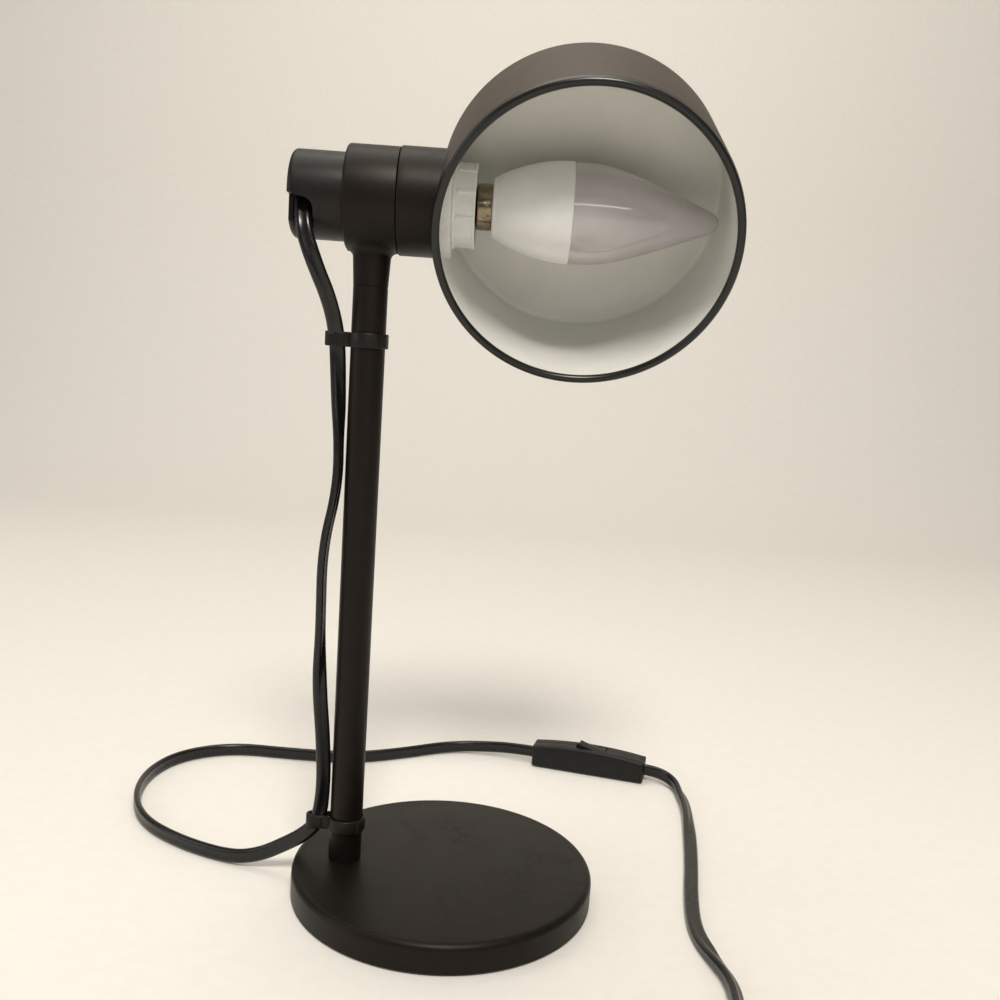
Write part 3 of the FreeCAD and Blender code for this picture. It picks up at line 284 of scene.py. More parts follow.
# ---------------------------------------------------------------------------------------------------------------
# Finishes
# ---------------------------------------------------------------------------------------------------------------
@dataclass(frozen=True)
class Finish:
    """A surface finish: its colour and gloss, and how strongly grain, marks and dust show on it."""

    name: str
    colour: Colour
    roughness: float
    metallic: float = 0.0
    grain_size: float = 0.35 * MM
    grain_depth: float = 0.02 * MM
    tone: float = 0.12
    marks: float = 0.08
    mark_size: float = 22 * MM
    dust: float = 0.0
    coat: float = 0.0
    coat_roughness: float = 0.1
    specular: float = 0.5
    tint: Colour = (1.0, 1.0, 1.0)
    subsurface: float = 0.0
    lines: bool = False

    def place(self, tree: bpy.types.NodeTree, group: bpy.types.NodeTree, size: float) -> bpy.types.Node:
        """Puts a group in the material, fed with Object coordinates and a size.

        Args:
            tree: the material's node tree.
            group: the group that is put in.
            size: the size of its pattern in metres.

        Returns:
            The group's node.
        """
        node = tree.nodes.new("ShaderNodeGroup")
        node.node_tree = group
        coordinates = tree.nodes.new("ShaderNodeTexCoord")
        tree.links.new(coordinates.outputs["Object"], node.inputs["Vector"])
        node.inputs["Size"].default_value = size
        return node

    def mix_value(self, tree: bpy.types.NodeTree, factor: bpy.types.NodeSocket, low: float,
                  high: float) -> bpy.types.NodeSocket:
        """Value that goes from low to high as factor goes from 0 to 1.

        Args:
            tree: the material's node tree.
            factor: what it follows.
            low: its value at 0.
            high: its value at 1.

        Returns:
            The value.
        """
        node = tree.nodes.new("ShaderNodeMapRange")
        node.inputs["To Min"].default_value = low
        node.inputs["To Max"].default_value = high
        tree.links.new(factor, node.inputs["Value"])
        return node.outputs["Result"]

    def mix_colour(self, tree: bpy.types.NodeTree, factor: bpy.types.NodeSocket,
                   first: bpy.types.NodeSocket | Colour, second: bpy.types.NodeSocket | Colour
                   ) -> bpy.types.NodeSocket:
        """Colour between two colours; either may be a socket or a plain colour.

        Args:
            tree: the material's node tree.
            factor: how far it is from the first to the second.
            first: the colour at 0.
            second: the colour at 1.

        Returns:
            The mixed colour.
        """
        node = tree.nodes.new("ShaderNodeMix")
        node.data_type = "RGBA"
        tree.links.new(factor, node.inputs["Factor"])
        for socket, value in ((node.inputs[6], first), (node.inputs[7], second)):
            if isinstance(value, bpy.types.NodeSocket):
                tree.links.new(value, socket)
            else:
                socket.default_value = (*value, 1.0)
        return node.outputs[2]

    def material(self) -> bpy.types.Material:
        """Builds the material, or gives the one already built.

        Returns:
            The material.
        """
        if self.name in bpy.data.materials:
            return bpy.data.materials[self.name]
        made = bpy.data.materials.new(self.name)
        made.use_nodes = True
        tree = made.node_tree
        shader = tree.nodes["Principled BSDF"]
        shader.inputs["Metallic"].default_value = self.metallic
        shader.inputs["Specular IOR Level"].default_value = self.specular
        shader.inputs["Specular Tint"].default_value = (*self.tint, 1.0)
        shader.inputs["Coat Weight"].default_value = self.coat
        shader.inputs["Coat Roughness"].default_value = self.coat_roughness
        if self.subsurface:
            shader.inputs["Subsurface Weight"].default_value = self.subsurface
            shader.inputs["Subsurface Scale"].default_value = SCATTER_DEPTH
            shader.inputs["Subsurface Radius"].default_value = SCATTER_COLOUR
        grain = self.place(tree, GROUPS.grain(), self.grain_size)
        marks = self.place(tree, GROUPS.marks(), self.mark_size)
        darker = tuple(channel * (1 - self.tone) for channel in self.colour)
        lighter = tuple(min(1.0, channel * (1 + self.tone)) for channel in self.colour)
        colour = self.mix_colour(tree, grain.outputs["Tone"], darker, lighter)
        if self.dust:
            dust = self.place(tree, GROUPS.dust(), DUST_SPECK)
            amount = self.mix_value(tree, dust.outputs["Mask"], 0.0, self.dust)
            colour = self.mix_colour(tree, amount, colour, DUST_COLOUR)
        tree.links.new(colour, shader.inputs["Base Color"])
        rough = self.mix_value(tree, marks.outputs["Mask"], self.roughness, self.roughness + self.marks)
        tree.links.new(rough, shader.inputs["Roughness"])
        bump = tree.nodes.new("ShaderNodeBump")
        bump.inputs["Distance"].default_value = self.grain_depth
        bump.inputs["Strength"].default_value = 1.0
        source = self.place(tree, GROUPS.drawn(), self.grain_size) if self.lines else grain
        tree.links.new(source.outputs["Height"], bump.inputs["Height"])
        tree.links.new(bump.outputs["Normal"], shader.inputs["Normal"])
        return made


POWDER = Finish("satin_powder_coat", (0.0058, 0.0041, 0.0030), 0.42, grain_size=0.22 * MM, grain_depth=0.018 * MM,
                tone=0.10, marks=0.08, dust=0.04, specular=0.20, tint=(1.0, 0.92, 0.83))
# Painted shade: a much darker, glossier copy of the drum's paint for the rolled bead, which has the same paint as the
# drum.
RIM_SHADE_POWDER = Finish("rim_powder_coat", (0.0045, 0.0042, 0.0035), 0.28, grain_size=0.22 * MM,
                    grain_depth=0.006 * MM, tone=0.08, marks=0.06, specular=0.45)
DRUM_POWDER = Finish("drum_powder_coat", (0.042, 0.031, 0.020), 0.55, grain_size=0.22 * MM, grain_depth=0.012 * MM,
                     tone=0.06, marks=0.05, dust=0.04, specular=0.35)
ENAMEL = Finish("white_enamel", (0.74, 0.74, 0.70), 0.34, grain_size=0.8 * MM, grain_depth=0.006 * MM, tone=0.02,
                marks=0.06, coat=0.15, coat_roughness=0.25)
WHITE_PLASTIC = Finish("white_moulding", (0.76, 0.77, 0.73), 0.38, grain_size=0.25 * MM, grain_depth=0.006 * MM,
                       tone=0.025, marks=0.06, subsurface=0.08)
BULB_WHITE = Finish("bulb_moulding", (0.78, 0.78, 0.77), 0.30, grain_size=0.5 * MM, grain_depth=0.003 * MM,
                    tone=0.02, marks=0.05, subsurface=0.10)
FROST = Finish("frosted_cover", (0.47, 0.445, 0.45), 0.16, grain_size=0.6 * MM, grain_depth=0.002 * MM, tone=0.03,
               marks=0.06, coat=0.6, coat_roughness=0.035, subsurface=0.25)
BLACK_PLASTIC = Finish("black_moulding", (0.0078, 0.0064, 0.0053), 0.38, grain_size=0.18 * MM,
                       grain_depth=0.012 * MM, tone=0.12, marks=0.10, dust=0.04, specular=0.25)
SWITCH_PLASTIC = Finish("switch_moulding", (0.0065, 0.0065, 0.0060), 0.45, grain_size=0.20 * MM,
                        grain_depth=0.018 * MM, tone=0.10, marks=0.10, dust=0.06, specular=0.28)
GREY_PLASTIC = Finish("grip_moulding", (0.03, 0.028, 0.027), 0.45)
CORD_BLACK = Finish("cord_sheath", (0.0055, 0.0056, 0.0054), 0.24, grain_size=0.9 * MM, grain_depth=0.012 * MM,
                    tone=0.12, marks=0.10, mark_size=9 * MM, dust=0.03, specular=0.4)
PLUG_BLACK = Finish("plug_moulding", (0.014, 0.014, 0.0145), 0.36, grain_size=0.3 * MM, grain_depth=0.02 * MM,
                    dust=0.06)
ZINC = Finish("zinc_plate", (0.62, 0.62, 0.58), 0.32, metallic=1.0, grain_size=0.15 * MM, grain_depth=0.006 * MM,
              lines=True)
DARK_STEEL = Finish("black_oxide", (0.05, 0.05, 0.05), 0.4, metallic=0.8, grain_size=0.15 * MM,
                    grain_depth=0.006 * MM, lines=True)
BRASS = Finish("brass_strip", (0.72, 0.55, 0.27), 0.28, metallic=1.0, grain_size=0.15 * MM,
               grain_depth=0.006 * MM, lines=True)
CAP_METAL = Finish("cap_shell", (0.27, 0.22, 0.155), 0.20, metallic=1.0, grain_size=0.25 * MM,
                   grain_depth=0.01 * MM, tone=0.2, lines=True)
IRON = Finish("cast_weight", (0.13, 0.13, 0.13), 0.7, metallic=0.6, grain_size=0.9 * MM, grain_depth=0.08 * MM)
FOAM = Finish("foot_foam", (0.03, 0.03, 0.031), 0.95, grain_size=0.5 * MM, grain_depth=0.12 * MM, tone=0.3)
FIBRE = Finish("red_fibre", (0.30, 0.10, 0.06), 0.7, grain_size=0.4 * MM, grain_depth=0.02 * MM, tone=0.2)
WIRE = Finish("wire_sleeve", (0.05, 0.12, 0.35), 0.35)
BOARD = Finish("circuit_laminate", (0.68, 0.70, 0.66), 0.5, grain_size=0.4 * MM, grain_depth=0.01 * MM)
BEAD_GLASS = Finish("black_glass", (0.01, 0.01, 0.012), 0.08, coat=0.5)

NODE_FINISHES: dict[Finish, tuple[str, ...]] = {
    IRON: ("base_weight",),
    FOAM: ("base_pad",),
    DARK_STEEL: ("plug_set_screw",),
    ZINC: ("stem_foot_stud", "foot_washer", "foot_nut", "stem_top_insert", "neck_nipple", "turn_stop_pin",
           "cord_grip_screws", "swivel_nipple", "spring_washer", "swivel_nuts", "sleeve_nut",
           "holder_terminal_screws", "switch_case_screws"),
    GREY_PLASTIC: ("cord_grip",),
    FIBRE: ("friction_disc", "friction_washer"),
    WIRE: ("tee_wires", "holder_wires"),
    BRASS: ("holder_thread_shell", "holder_centre_contact", "switch_contacts", "bulb_contact"),
    BEAD_GLASS: ("bulb_insulator",),
    BOARD: ("bulb_led_board", "bulb_driver_board"),
    BLACK_PLASTIC: ("cord_tie",),
}


# ---------------------------------------------------------------------------------------------------------------
# Surfaces
# ---------------------------------------------------------------------------------------------------------------
@dataclass(frozen=True)
class Axis:
    """A line that round pieces are turned about: a point on it, its direction, and where angle zero points."""

    origin: tuple[float, float, float]
    direction: tuple[float, float, float]
    zero: tuple[float, float, float]

    def place(self, along: np.ndarray, radius: np.ndarray, angle: np.ndarray) -> np.ndarray:
        """Points at a distance along the axis, a radius and an angle.

        Args:
            along: distances along the axis.
            radius: distances from the axis.
            angle: angles about it, counted from the zero direction.

        Returns:
            One row of x, y, z for each point: origin + along * direction + radius * (cos * zero + sin * third).
        """
        direction = np.array(self.direction)
        zero = np.array(self.zero)
        third = np.cross(direction, zero)
        spread = np.cos(angle)[..., None] * zero + np.sin(angle)[..., None] * third
        points = np.array(self.origin) + along[..., None] * direction + radius[..., None] * spread
        return points.reshape(-1, 3)


def span(node: str) -> tuple[np.ndarray, np.ndarray]:
    """Lowest and highest corners of a CAD node."""
    low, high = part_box(node)
    return np.array(low), np.array(high)


def arc(centre: tuple[float, float], radius: float, first: float, last: float, steps: int = 8) -> np.ndarray:
    """Points on a circle from one angle to another, in degrees: centre + radius * (cos, sin)."""
    angle = np.radians(np.linspace(first, last, steps + 1))
    return np.stack([centre[0] + radius * np.cos(angle), centre[1] + radius * np.sin(angle)], axis=1)


def rounded(corners: Sequence[tuple[float, float, float]], closed: bool = True, steps: int = 5) -> np.ndarray:
    """Outline whose corners are arcs of their own radius.

    Each arc is tangent to both sides, so it starts radius * tan(turn / 2) before the corner.

    Args:
        corners: x, y and arc radius of each corner.
        closed: whether the last corner joins the first.
        steps: pieces in each arc.

    Returns:
        One row of x, y for each point.
    """
    points = np.array([corner[:2] for corner in corners], float)
    made = []
    for index, (_, _, radius) in enumerate(corners):
        here = points[index]
        if radius <= 0 or (not closed and index in (0, len(corners) - 1)):
            made.append(here[None, :])
            continue
        before = points[index - 1] - here
        after = points[(index + 1) % len(points)] - here
        before, after = before / np.linalg.norm(before), after / np.linalg.norm(after)
        half = math.acos(max(-1.0, min(1.0, float(before @ after)))) / 2
        centre = here + (before + after) / np.linalg.norm(before + after) * radius / math.sin(half)
        start = here + before * radius / math.tan(half) - centre
        end = here + after * radius / math.tan(half) - centre
        sweep = math.pi - 2 * half
        share = np.linspace(0, 1, steps + 1)[:, None]
        made.append(centre + (np.sin((1 - share) * sweep) * start + np.sin(share * sweep) * end) / math.sin(sweep))
    return np.concatenate(made)


def grid_faces(rows: int, columns: int, wrap_rows: bool, wrap_columns: bool = True) -> np.ndarray:
    """Quads between neighbouring points of a grid, joined end to end where it wraps.

    Args:
        rows: points along the first parameter.
        columns: points along the second parameter.
        wrap_rows: whether the last row joins the first.
        wrap_columns: whether the last column joins the first.

    Returns:
        Four point numbers for each quad.
    """
    row = np.arange(rows if wrap_rows else rows - 1)[:, None]
    column = np.arange(columns if wrap_columns else columns - 1)[None, :]
    next_row, next_column = (row + 1) % rows, (column + 1) % columns
    corners = [row * columns + column, row * columns + next_column, next_row * columns + next_column,
               next_row * columns + column]
    return np.stack(np.broadcast_arrays(*corners), axis=-1).reshape(-1, 4)


def lying(along: np.ndarray, across: np.ndarray, up: np.ndarray) -> np.ndarray:
    """Points of a slab whose outline lies level: x, y, z = along, across, up."""
    return np.stack([along, across, up], axis=1)


def upright(along: np.ndarray, up: np.ndarray, depth: np.ndarray) -> np.ndarray:
    """Points of a slab whose outline stands upright: x, y, z = along, depth, up."""
    return np.stack([along, depth, up], axis=1)


class Workshop:
    """Makes finished objects from arrays of points and faces."""

    def build(self, name: str, points: np.ndarray, faces: Sequence, finish: Finish, body: Body,
              sharp: float = SEAM_ANGLE) -> bpy.types.Object:
        """Makes a closed, outward-facing object and sets it to ride on a body.

        Args:
            name: the piece's name.
            points: one row of x, y, z for each point, in metres.
            faces: the corners of each face.
            finish: what its surface is finished with.
            body: what it moves with.
            sharp: the angle in degrees past which an edge shades as sharp.

        Returns:
            The new object.
        """
        mesh = bpy.data.meshes.new(name)
        mesh.from_pydata(points.tolist(), [], [list(face) for face in faces])
        self.weld(mesh)
        mesh.materials.append(finish.material())
        made = bpy.data.objects.new(name, mesh)
        bpy.context.scene.collection.objects.link(made)
        self.shade(mesh, sharp)
        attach(made, body.value)
        return made

    def weld(self, mesh: bpy.types.Mesh) -> None:
        """Merges doubled points, removes empty faces and points every face outward.

        Args:
            mesh: the mesh, which is changed in place.
        """
        work = bmesh.new()
        work.from_mesh(mesh)
        bmesh.ops.remove_doubles(work, verts=work.verts, dist=MERGE_DISTANCE)
        bmesh.ops.dissolve_degenerate(work, edges=work.edges, dist=EMPTY_EDGE)
        bmesh.ops.recalc_face_normals(work, faces=work.faces)
        work.to_mesh(mesh)
        work.free()

    def shade(self, mesh: bpy.types.Mesh, sharp: float) -> None:
        """Shades smooth, with edges sharper than an angle kept crisp.

        Args:
            mesh: the mesh, which is changed in place.
            sharp: the angle in degrees.
        """
        mesh.polygons.foreach_set("use_smooth", np.ones(len(mesh.polygons), bool))
        mesh.set_sharp_from_angle(angle=math.radians(sharp))
        mesh.update()

    def turned(self, name: str, axis: Axis, profile: np.ndarray, finish: Finish, body: Body, segments: int = 144,
               closed: bool = True, shape: Shape | None = None) -> bpy.types.Object:
        """Turns a profile about an axis.

        The surface is axis.place(along(t), radius(t), angle), and shape may change along and radius at each angle.

        Args:
            name: the piece's name.
            axis: what it is turned about.
            profile: along and radius of each point; an open profile starts and ends on the axis.
            finish: its finish.
            body: what it moves with.
            segments: steps in a full turn.
            closed: whether the profile's end joins its start.
            shape: how along and radius change with the angle.

        Returns:
            The new object.
        """
        points, faces = self.turned_arrays(axis, profile, segments, closed, shape)
        return self.build(name, points, faces, finish, body)

    def turned_arrays(self, axis: Axis, profile: np.ndarray, segments: int, closed: bool,
                      shape: Shape | None) -> tuple[np.ndarray, np.ndarray]:
        """Points and faces of a turned profile.

        Args:
            axis: what it is turned about.
            profile: along and radius of each point.
            segments: steps in a full turn.
            closed: whether the profile's end joins its start.
            shape: how along and radius change with the angle.

        Returns:
            One row of x, y, z for each point, and the corners of each face.
        """
        angle = np.linspace(0, 2 * math.pi, segments, endpoint=False)[None, :]
        along = np.repeat(profile[:, :1], segments, axis=1)
        radius = np.repeat(profile[:, 1:2], segments, axis=1)
        angle = np.repeat(angle, len(profile), axis=0)
        if shape is not None:
            along, radius = shape(along, radius, angle)
        return axis.place(along, radius, angle), grid_faces(len(profile), segments, closed)

    def slab(self, name: str, outline: np.ndarray, place: Placer, low: float, high: float,
             edge: tuple[float, float], finish: Finish, body: Body) -> bpy.types.Object:
        """A plate of one outline whose two faces have rounded edges.

        Rings of the outline are set in by edge * (1 - cos) and lie edge * (1 - sin) from each face.

        Args:
            name: the piece's name.
            outline: x and y of each point, in order round it.
            place: turns x, y and height into points in the row frame.
            low: height of the first face.
            high: height of the second face.
            edge: the rounding at the first and second face.
            finish: its finish.
            body: what it moves with.

        Returns:
            The new object.
        """
        tangent = np.roll(outline, -1, axis=0) - np.roll(outline, 1, axis=0)
        tangent /= np.linalg.norm(tangent, axis=1, keepdims=True)
        area = np.sum(outline[:, 0] * np.roll(outline[:, 1], -1) - np.roll(outline[:, 0], -1) * outline[:, 1])
        inward = np.stack([-tangent[:, 1], tangent[:, 0]], axis=1) * np.sign(area)
        bend = np.radians(np.linspace(0, 90, 6))
        insets = np.concatenate([edge[0] * (1 - np.sin(bend)), edge[1] * (1 - np.cos(bend))])
        heights = np.concatenate([low + edge[0] * (1 - np.cos(bend)), high - edge[1] * (1 - np.sin(bend))])
        rings = outline[None] + inward[None] * insets[:, None, None]
        level = np.repeat(heights[:, None], len(outline), axis=1)
        points = place(rings[..., 0].ravel(), rings[..., 1].ravel(), level.ravel())
        count = len(outline)
        faces = grid_faces(len(heights), count, False).tolist()
        faces.append(list(range(count))[::-1])
        faces.append(list(range((len(heights) - 1) * count, len(heights) * count)))
        return self.build(name, points, faces, finish, body)

    def swept(self, path: np.ndarray, wide: np.ndarray, section: np.ndarray) -> tuple[np.ndarray, list[list[int]]]:
        """Carries a section along a path.

        Args:
            path: the points that it follows.
            wide: at each point, the direction of the section's first coordinate before it is squared to the path.
            section: first and second coordinate of each point of the section.

        Returns:
            Points and faces: path + section x * wide + section y * (tangent x wide), with both ends closed.
        """
        tangent = np.gradient(path, axis=0)
        tangent /= np.linalg.norm(tangent, axis=1, keepdims=True)
        wide = wide - np.sum(wide * tangent, axis=1, keepdims=True) * tangent
        wide /= np.linalg.norm(wide, axis=1, keepdims=True)
        thin = np.cross(tangent, wide)
        points = path[:, None] + section[None, :, :1] * wide[:, None] + section[None, :, 1:] * thin[:, None]
        count = len(section)
        faces = grid_faces(len(path), count, False).tolist()
        faces.append(list(range(count))[::-1])
        faces.append(list(range((len(path) - 1) * count, len(path) * count)))
        return points.reshape(-1, 3), faces

    def carve(self, made: bpy.types.Object, cutter: bpy.types.Object) -> None:
        """Cuts one object's shape out of another and removes the cutter.

        Args:
            made: the object that is cut.
            cutter: the shape that is taken away.
        """
        step = made.modifiers.new("carve", "BOOLEAN")
        step.operation = "DIFFERENCE"
        step.solver = "EXACT"
        step.object = cutter
        bpy.context.view_layer.update()
        graph = bpy.context.evaluated_depsgraph_get()
        mesh = bpy.data.meshes.new_from_object(made.evaluated_get(graph), depsgraph=graph)
        made.modifiers.clear()
        made.data = mesh
        bpy.data.objects.remove(cutter)
        self.shade(mesh, SEAM_ANGLE)


SHOP = Workshop()


# ---------------------------------------------------------------------------------------------------------------
# Base and stem
# ---------------------------------------------------------------------------------------------------------------
@dataclass
class Stand:
    """The round base, the upright stem and the tee housing at its top."""

    edge_round: float = 2.6 * MM
    cover_wall: float = 1.4 * MM
    chamfer: float = 0.35 * MM
    seam_chamfer: float = 0.12 * MM
    fillet: float = 2.3 * MM
    pivot: tuple[float, float, float] = BARREL_PIVOT

    def build(self) -> None:
        """Builds every piece of the stand above the table."""
        self.base()
        self.stem()
        self.tee()

    def base(self) -> None:
        """The pressed cover: a flat top, a rounded edge and a straight skirt, with a wall of one thickness."""
        low, high = span("base_cover")
        radius, bottom, top = (high[0] - low[0]) / 2, low[2], high[2]
        wall, turn = self.cover_wall, self.edge_round
        outer = arc((top - turn, radius - turn), turn, 0, 90, 10)
        inner = arc((top - turn, radius - turn), turn - wall, 90, 0, 6)
        lip = np.array([(bottom + 0.2 * MM, radius), (bottom, radius - 0.2 * MM), (bottom, radius - wall)])
        profile = np.concatenate([[(top, 0.0)], outer, lip, inner, [(top - wall, 0.0)]])
        axis = Axis((0.0, 0.0, 0.0), (0.0, 0.0, 1.0), (1.0, 0.0, 0.0))
        made = SHOP.turned("base_shell", axis, profile, POWDER, Body.STAND, 192, closed=False)
        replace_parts(made, "base_cover")

    def stem(self) -> None:
        """The stem: a tube with a small chamfer at each end, closed by caps that don't show."""
        low, high = span("stem_tube")
        radius = (high[0] - low[0]) / 2
        bottom, top, chamfer = low[2], high[2], self.chamfer
        bevel = self.seam_chamfer
        corners = [(bottom, 0, 0), (bottom, radius, chamfer / 2), (top - bevel, radius, 0),
                   (top, radius - bevel, 0), (top, 0, 0)]
        axis = Axis(((low[0] + high[0]) / 2, 0.0, 0.0), (0.0, 0.0, 1.0), (1.0, 0.0, 0.0))
        made = SHOP.turned("stem_column", axis, rounded(corners, closed=False), POWDER, Body.STAND, 96, closed=False)
        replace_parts(made, "stem_tube")

    def tee(self) -> None:
        """The collar about the barrel, and a neck whose fillet follows the collar's round underside."""
        low, high = span("tee_housing")
        x, _, z = self.pivot
        left, right, radius = low[0] - x, high[0] - x, (high[1] - low[1]) / 2
        bore, recess, hole = 16.05 * MM, 15.0 * MM, 5.06 * MM
        web = (5.8 * MM, 9.2 * MM)
        corners = [(left, bore, 0.3 * MM), (left, radius, 1.0 * MM), (right, radius, 0.4 * MM), (right, recess, 0),
                   (web[1], recess, 0), (web[1], hole, 0), (web[0], hole, 0), (web[0], bore, 0)]
        barrel = Axis(self.pivot, (1.0, 0.0, 0.0), (0.0, 0.0, 1.0))
        collar, collar_faces = SHOP.turned_arrays(barrel, rounded(corners), 160, True, None)
        neck, neck_faces = self.neck(low[2], z, radius)
        points = np.concatenate([collar, neck])
        faces = np.concatenate([collar_faces, neck_faces + len(collar)])
        made = SHOP.build("tee_casting", points, faces, POWDER, Body.STAND)
        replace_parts(made, "tee_housing")

    def neck(self, seam: float, axis_height: float, collar: float) -> tuple[np.ndarray, np.ndarray]:
        """The neck from its seam to the collar.

        A ring of radius r meets the collar at height axis_height - sqrt(collar^2 - (r sin angle)^2). The fillet's
        rings grow by fillet * (1 - cos) and stand fillet * (1 - sin) under that height.

        Args:
            seam: height of the joint with the stem.
            axis_height: height of the barrel's axis.
            collar: the collar's outer radius.

        Returns:
            Points and faces.
        """
        segments, turn = 128, np.radians(np.linspace(0, 90, 9))
        low_radius, high_radius = 6.55 * MM, 7.1 * MM
        angle = np.linspace(0, 2 * math.pi, segments, endpoint=False)[None, :]
        radius = np.concatenate([[0, low_radius - self.seam_chamfer, low_radius],
                                 high_radius + self.fillet * (1 - np.cos(turn)), [high_radius, 0]])[:, None]
        under = axis_height - np.sqrt(collar**2 - (radius * np.sin(angle))**2)
        below = np.concatenate([np.zeros(3), self.fillet * (1 - np.sin(turn)), [-0.8 * MM, -0.8 * MM]])[:, None]
        height = under - below
        height[0] = seam
        height[1] = seam
        height[2] = seam + self.seam_chamfer
        height[-1] = height[-1].mean()
        spread = np.broadcast_to(radius, height.shape)
        points = np.stack([self.pivot[0] + spread * np.cos(angle), spread * np.sin(angle), height], axis=-1)
        return points.reshape(-1, 3), grid_faces(len(radius), segments, False)


# ---------------------------------------------------------------------------------------------------------------
# Barrel
# ---------------------------------------------------------------------------------------------------------------
@dataclass
class Barrel:
    """The horizontal barrel: the rear plug with its cord slot, and the sleeve that carries the shade."""

    tilt: float = math.radians(26.6)
    pivot: tuple[float, float, float] = BARREL_PIVOT

    @property
    def axis(self) -> Axis:
        """The barrel's axis, with angle zero pointing up."""
        return Axis(self.pivot, (1.0, 0.0, 0.0), (0.0, 0.0, 1.0))

    def drum(self) -> tuple[float, float]:
        """Centre of the drum along the barrel and the drum's outer radius."""
        low, high = span("shade_shell")
        return (low[0] + high[0]) / 2 - self.pivot[0], (high[0] - low[0]) / 2

    def wall_at(self, radius: np.ndarray, angle: np.ndarray, drum_radius: float) -> np.ndarray:
        """Where the drum's wall crosses a line beside the barrel's axis.

        A line at radius and angle lies b = radius * cos(angle - tilt) from the drum's axis, so it meets the wall
        at centre - sqrt(drum_radius^2 - b^2).

        Args:
            radius: the line's distance from the barrel's axis.
            angle: its angle about that axis.
            drum_radius: radius of the wall's inner or outer face.

        Returns:
            Distance along the barrel's axis at which each line meets the wall.
        """
        centre, _ = self.drum()
        offset = radius * np.cos(angle - self.tilt)
        return centre - np.sqrt(drum_radius**2 - offset**2)

    def build(self) -> None:
        """Builds the rear plug and the sleeve."""
        self.rear_plug()
        self.sleeve()

    def rear_plug(self) -> None:
        """A cup with a rounded end, cut by an arched slot for the cord that also opens its rim."""
        low, high = span("rear_plug")
        x, _, z = self.pivot
        start, end, radius, wall = low[0] - x, high[0] - x, (high[2] - low[2]) / 2, 1.7 * MM
        corners = [(start, 0, 0), (start, radius, 2.0 * MM), (end, radius, 0.2 * MM), (end, radius - wall, 0),
                   (start + wall, radius - wall, 0.8 * MM), (start + wall, 0, 0)]
        made = SHOP.turned("rear_cap", self.axis, rounded(corners, closed=False, steps=8), BLACK_PLASTIC,
                           Body.STAND, 160, closed=False)
        half, crown = 4.2 * MM, z - 6.9 * MM
        middle = x - 24.4 * MM
        arch = np.concatenate([arc((middle, crown), half, 0, 90, 12),
                               [(x + start - MM, crown + half + 1.6 * MM), (x + start - MM, z - 10.6 * MM),
                                (middle - 0.75 * half, z - 11.2 * MM), (middle - 0.5 * half, z - 20 * MM),
                                (middle + half, z - 20 * MM)]])
        SHOP.carve(made, self.cutter("slot_cutter", arch, -25 * MM, -9.6 * MM))
        soften = made.modifiers.new("soften", "BEVEL")
        soften.width = 0.22 * MM
        soften.segments = 2
        soften.limit_method = "ANGLE"
        soften.angle_limit = math.radians(50)
        soften.use_clamp_overlap = True
        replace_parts(made, "rear_plug")

    def cutter(self, name: str, outline: np.ndarray, near: float, far: float) -> bpy.types.Object:
        """A prism along Y between two depths, whose outline is given as x and z."""
        return SHOP.slab(name, outline, upright, near, far, (0.0, 0.0), BLACK_PLASTIC, Body.STAND)

    def sleeve(self) -> None:
        """The sleeve: its far end follows the drum's round wall at every angle."""
        low, high = span("swivel_sleeve")
        start, radius = low[0] - self.pivot[0], (high[1] - low[1]) / 2
        _, drum_radius = self.drum()
        far, bore, web, hole = 1.0, 17.7 * MM, 2.4 * MM, 5.02 * MM
        corners = [(start, hole, 0), (start, radius, 0.4 * MM), (start + 3 * MM, radius, 0), (far, radius, 0),
                   (far, bore, 0), (start + web, bore, 0), (start + web, hole, 0)]

        def saddle(along: np.ndarray, spread: np.ndarray, angle: np.ndarray) -> tuple[np.ndarray, np.ndarray]:
            """Moves the far end onto the drum's wall."""
            wall = self.wall_at(spread, angle, drum_radius) + 0.15 * MM
            return np.where(along > 0.5, wall, along), spread
        made = SHOP.turned("sleeve_tube", self.axis, rounded(corners), POWDER, Body.SHADE, 160, shape=saddle)
        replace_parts(made, "swivel_sleeve")


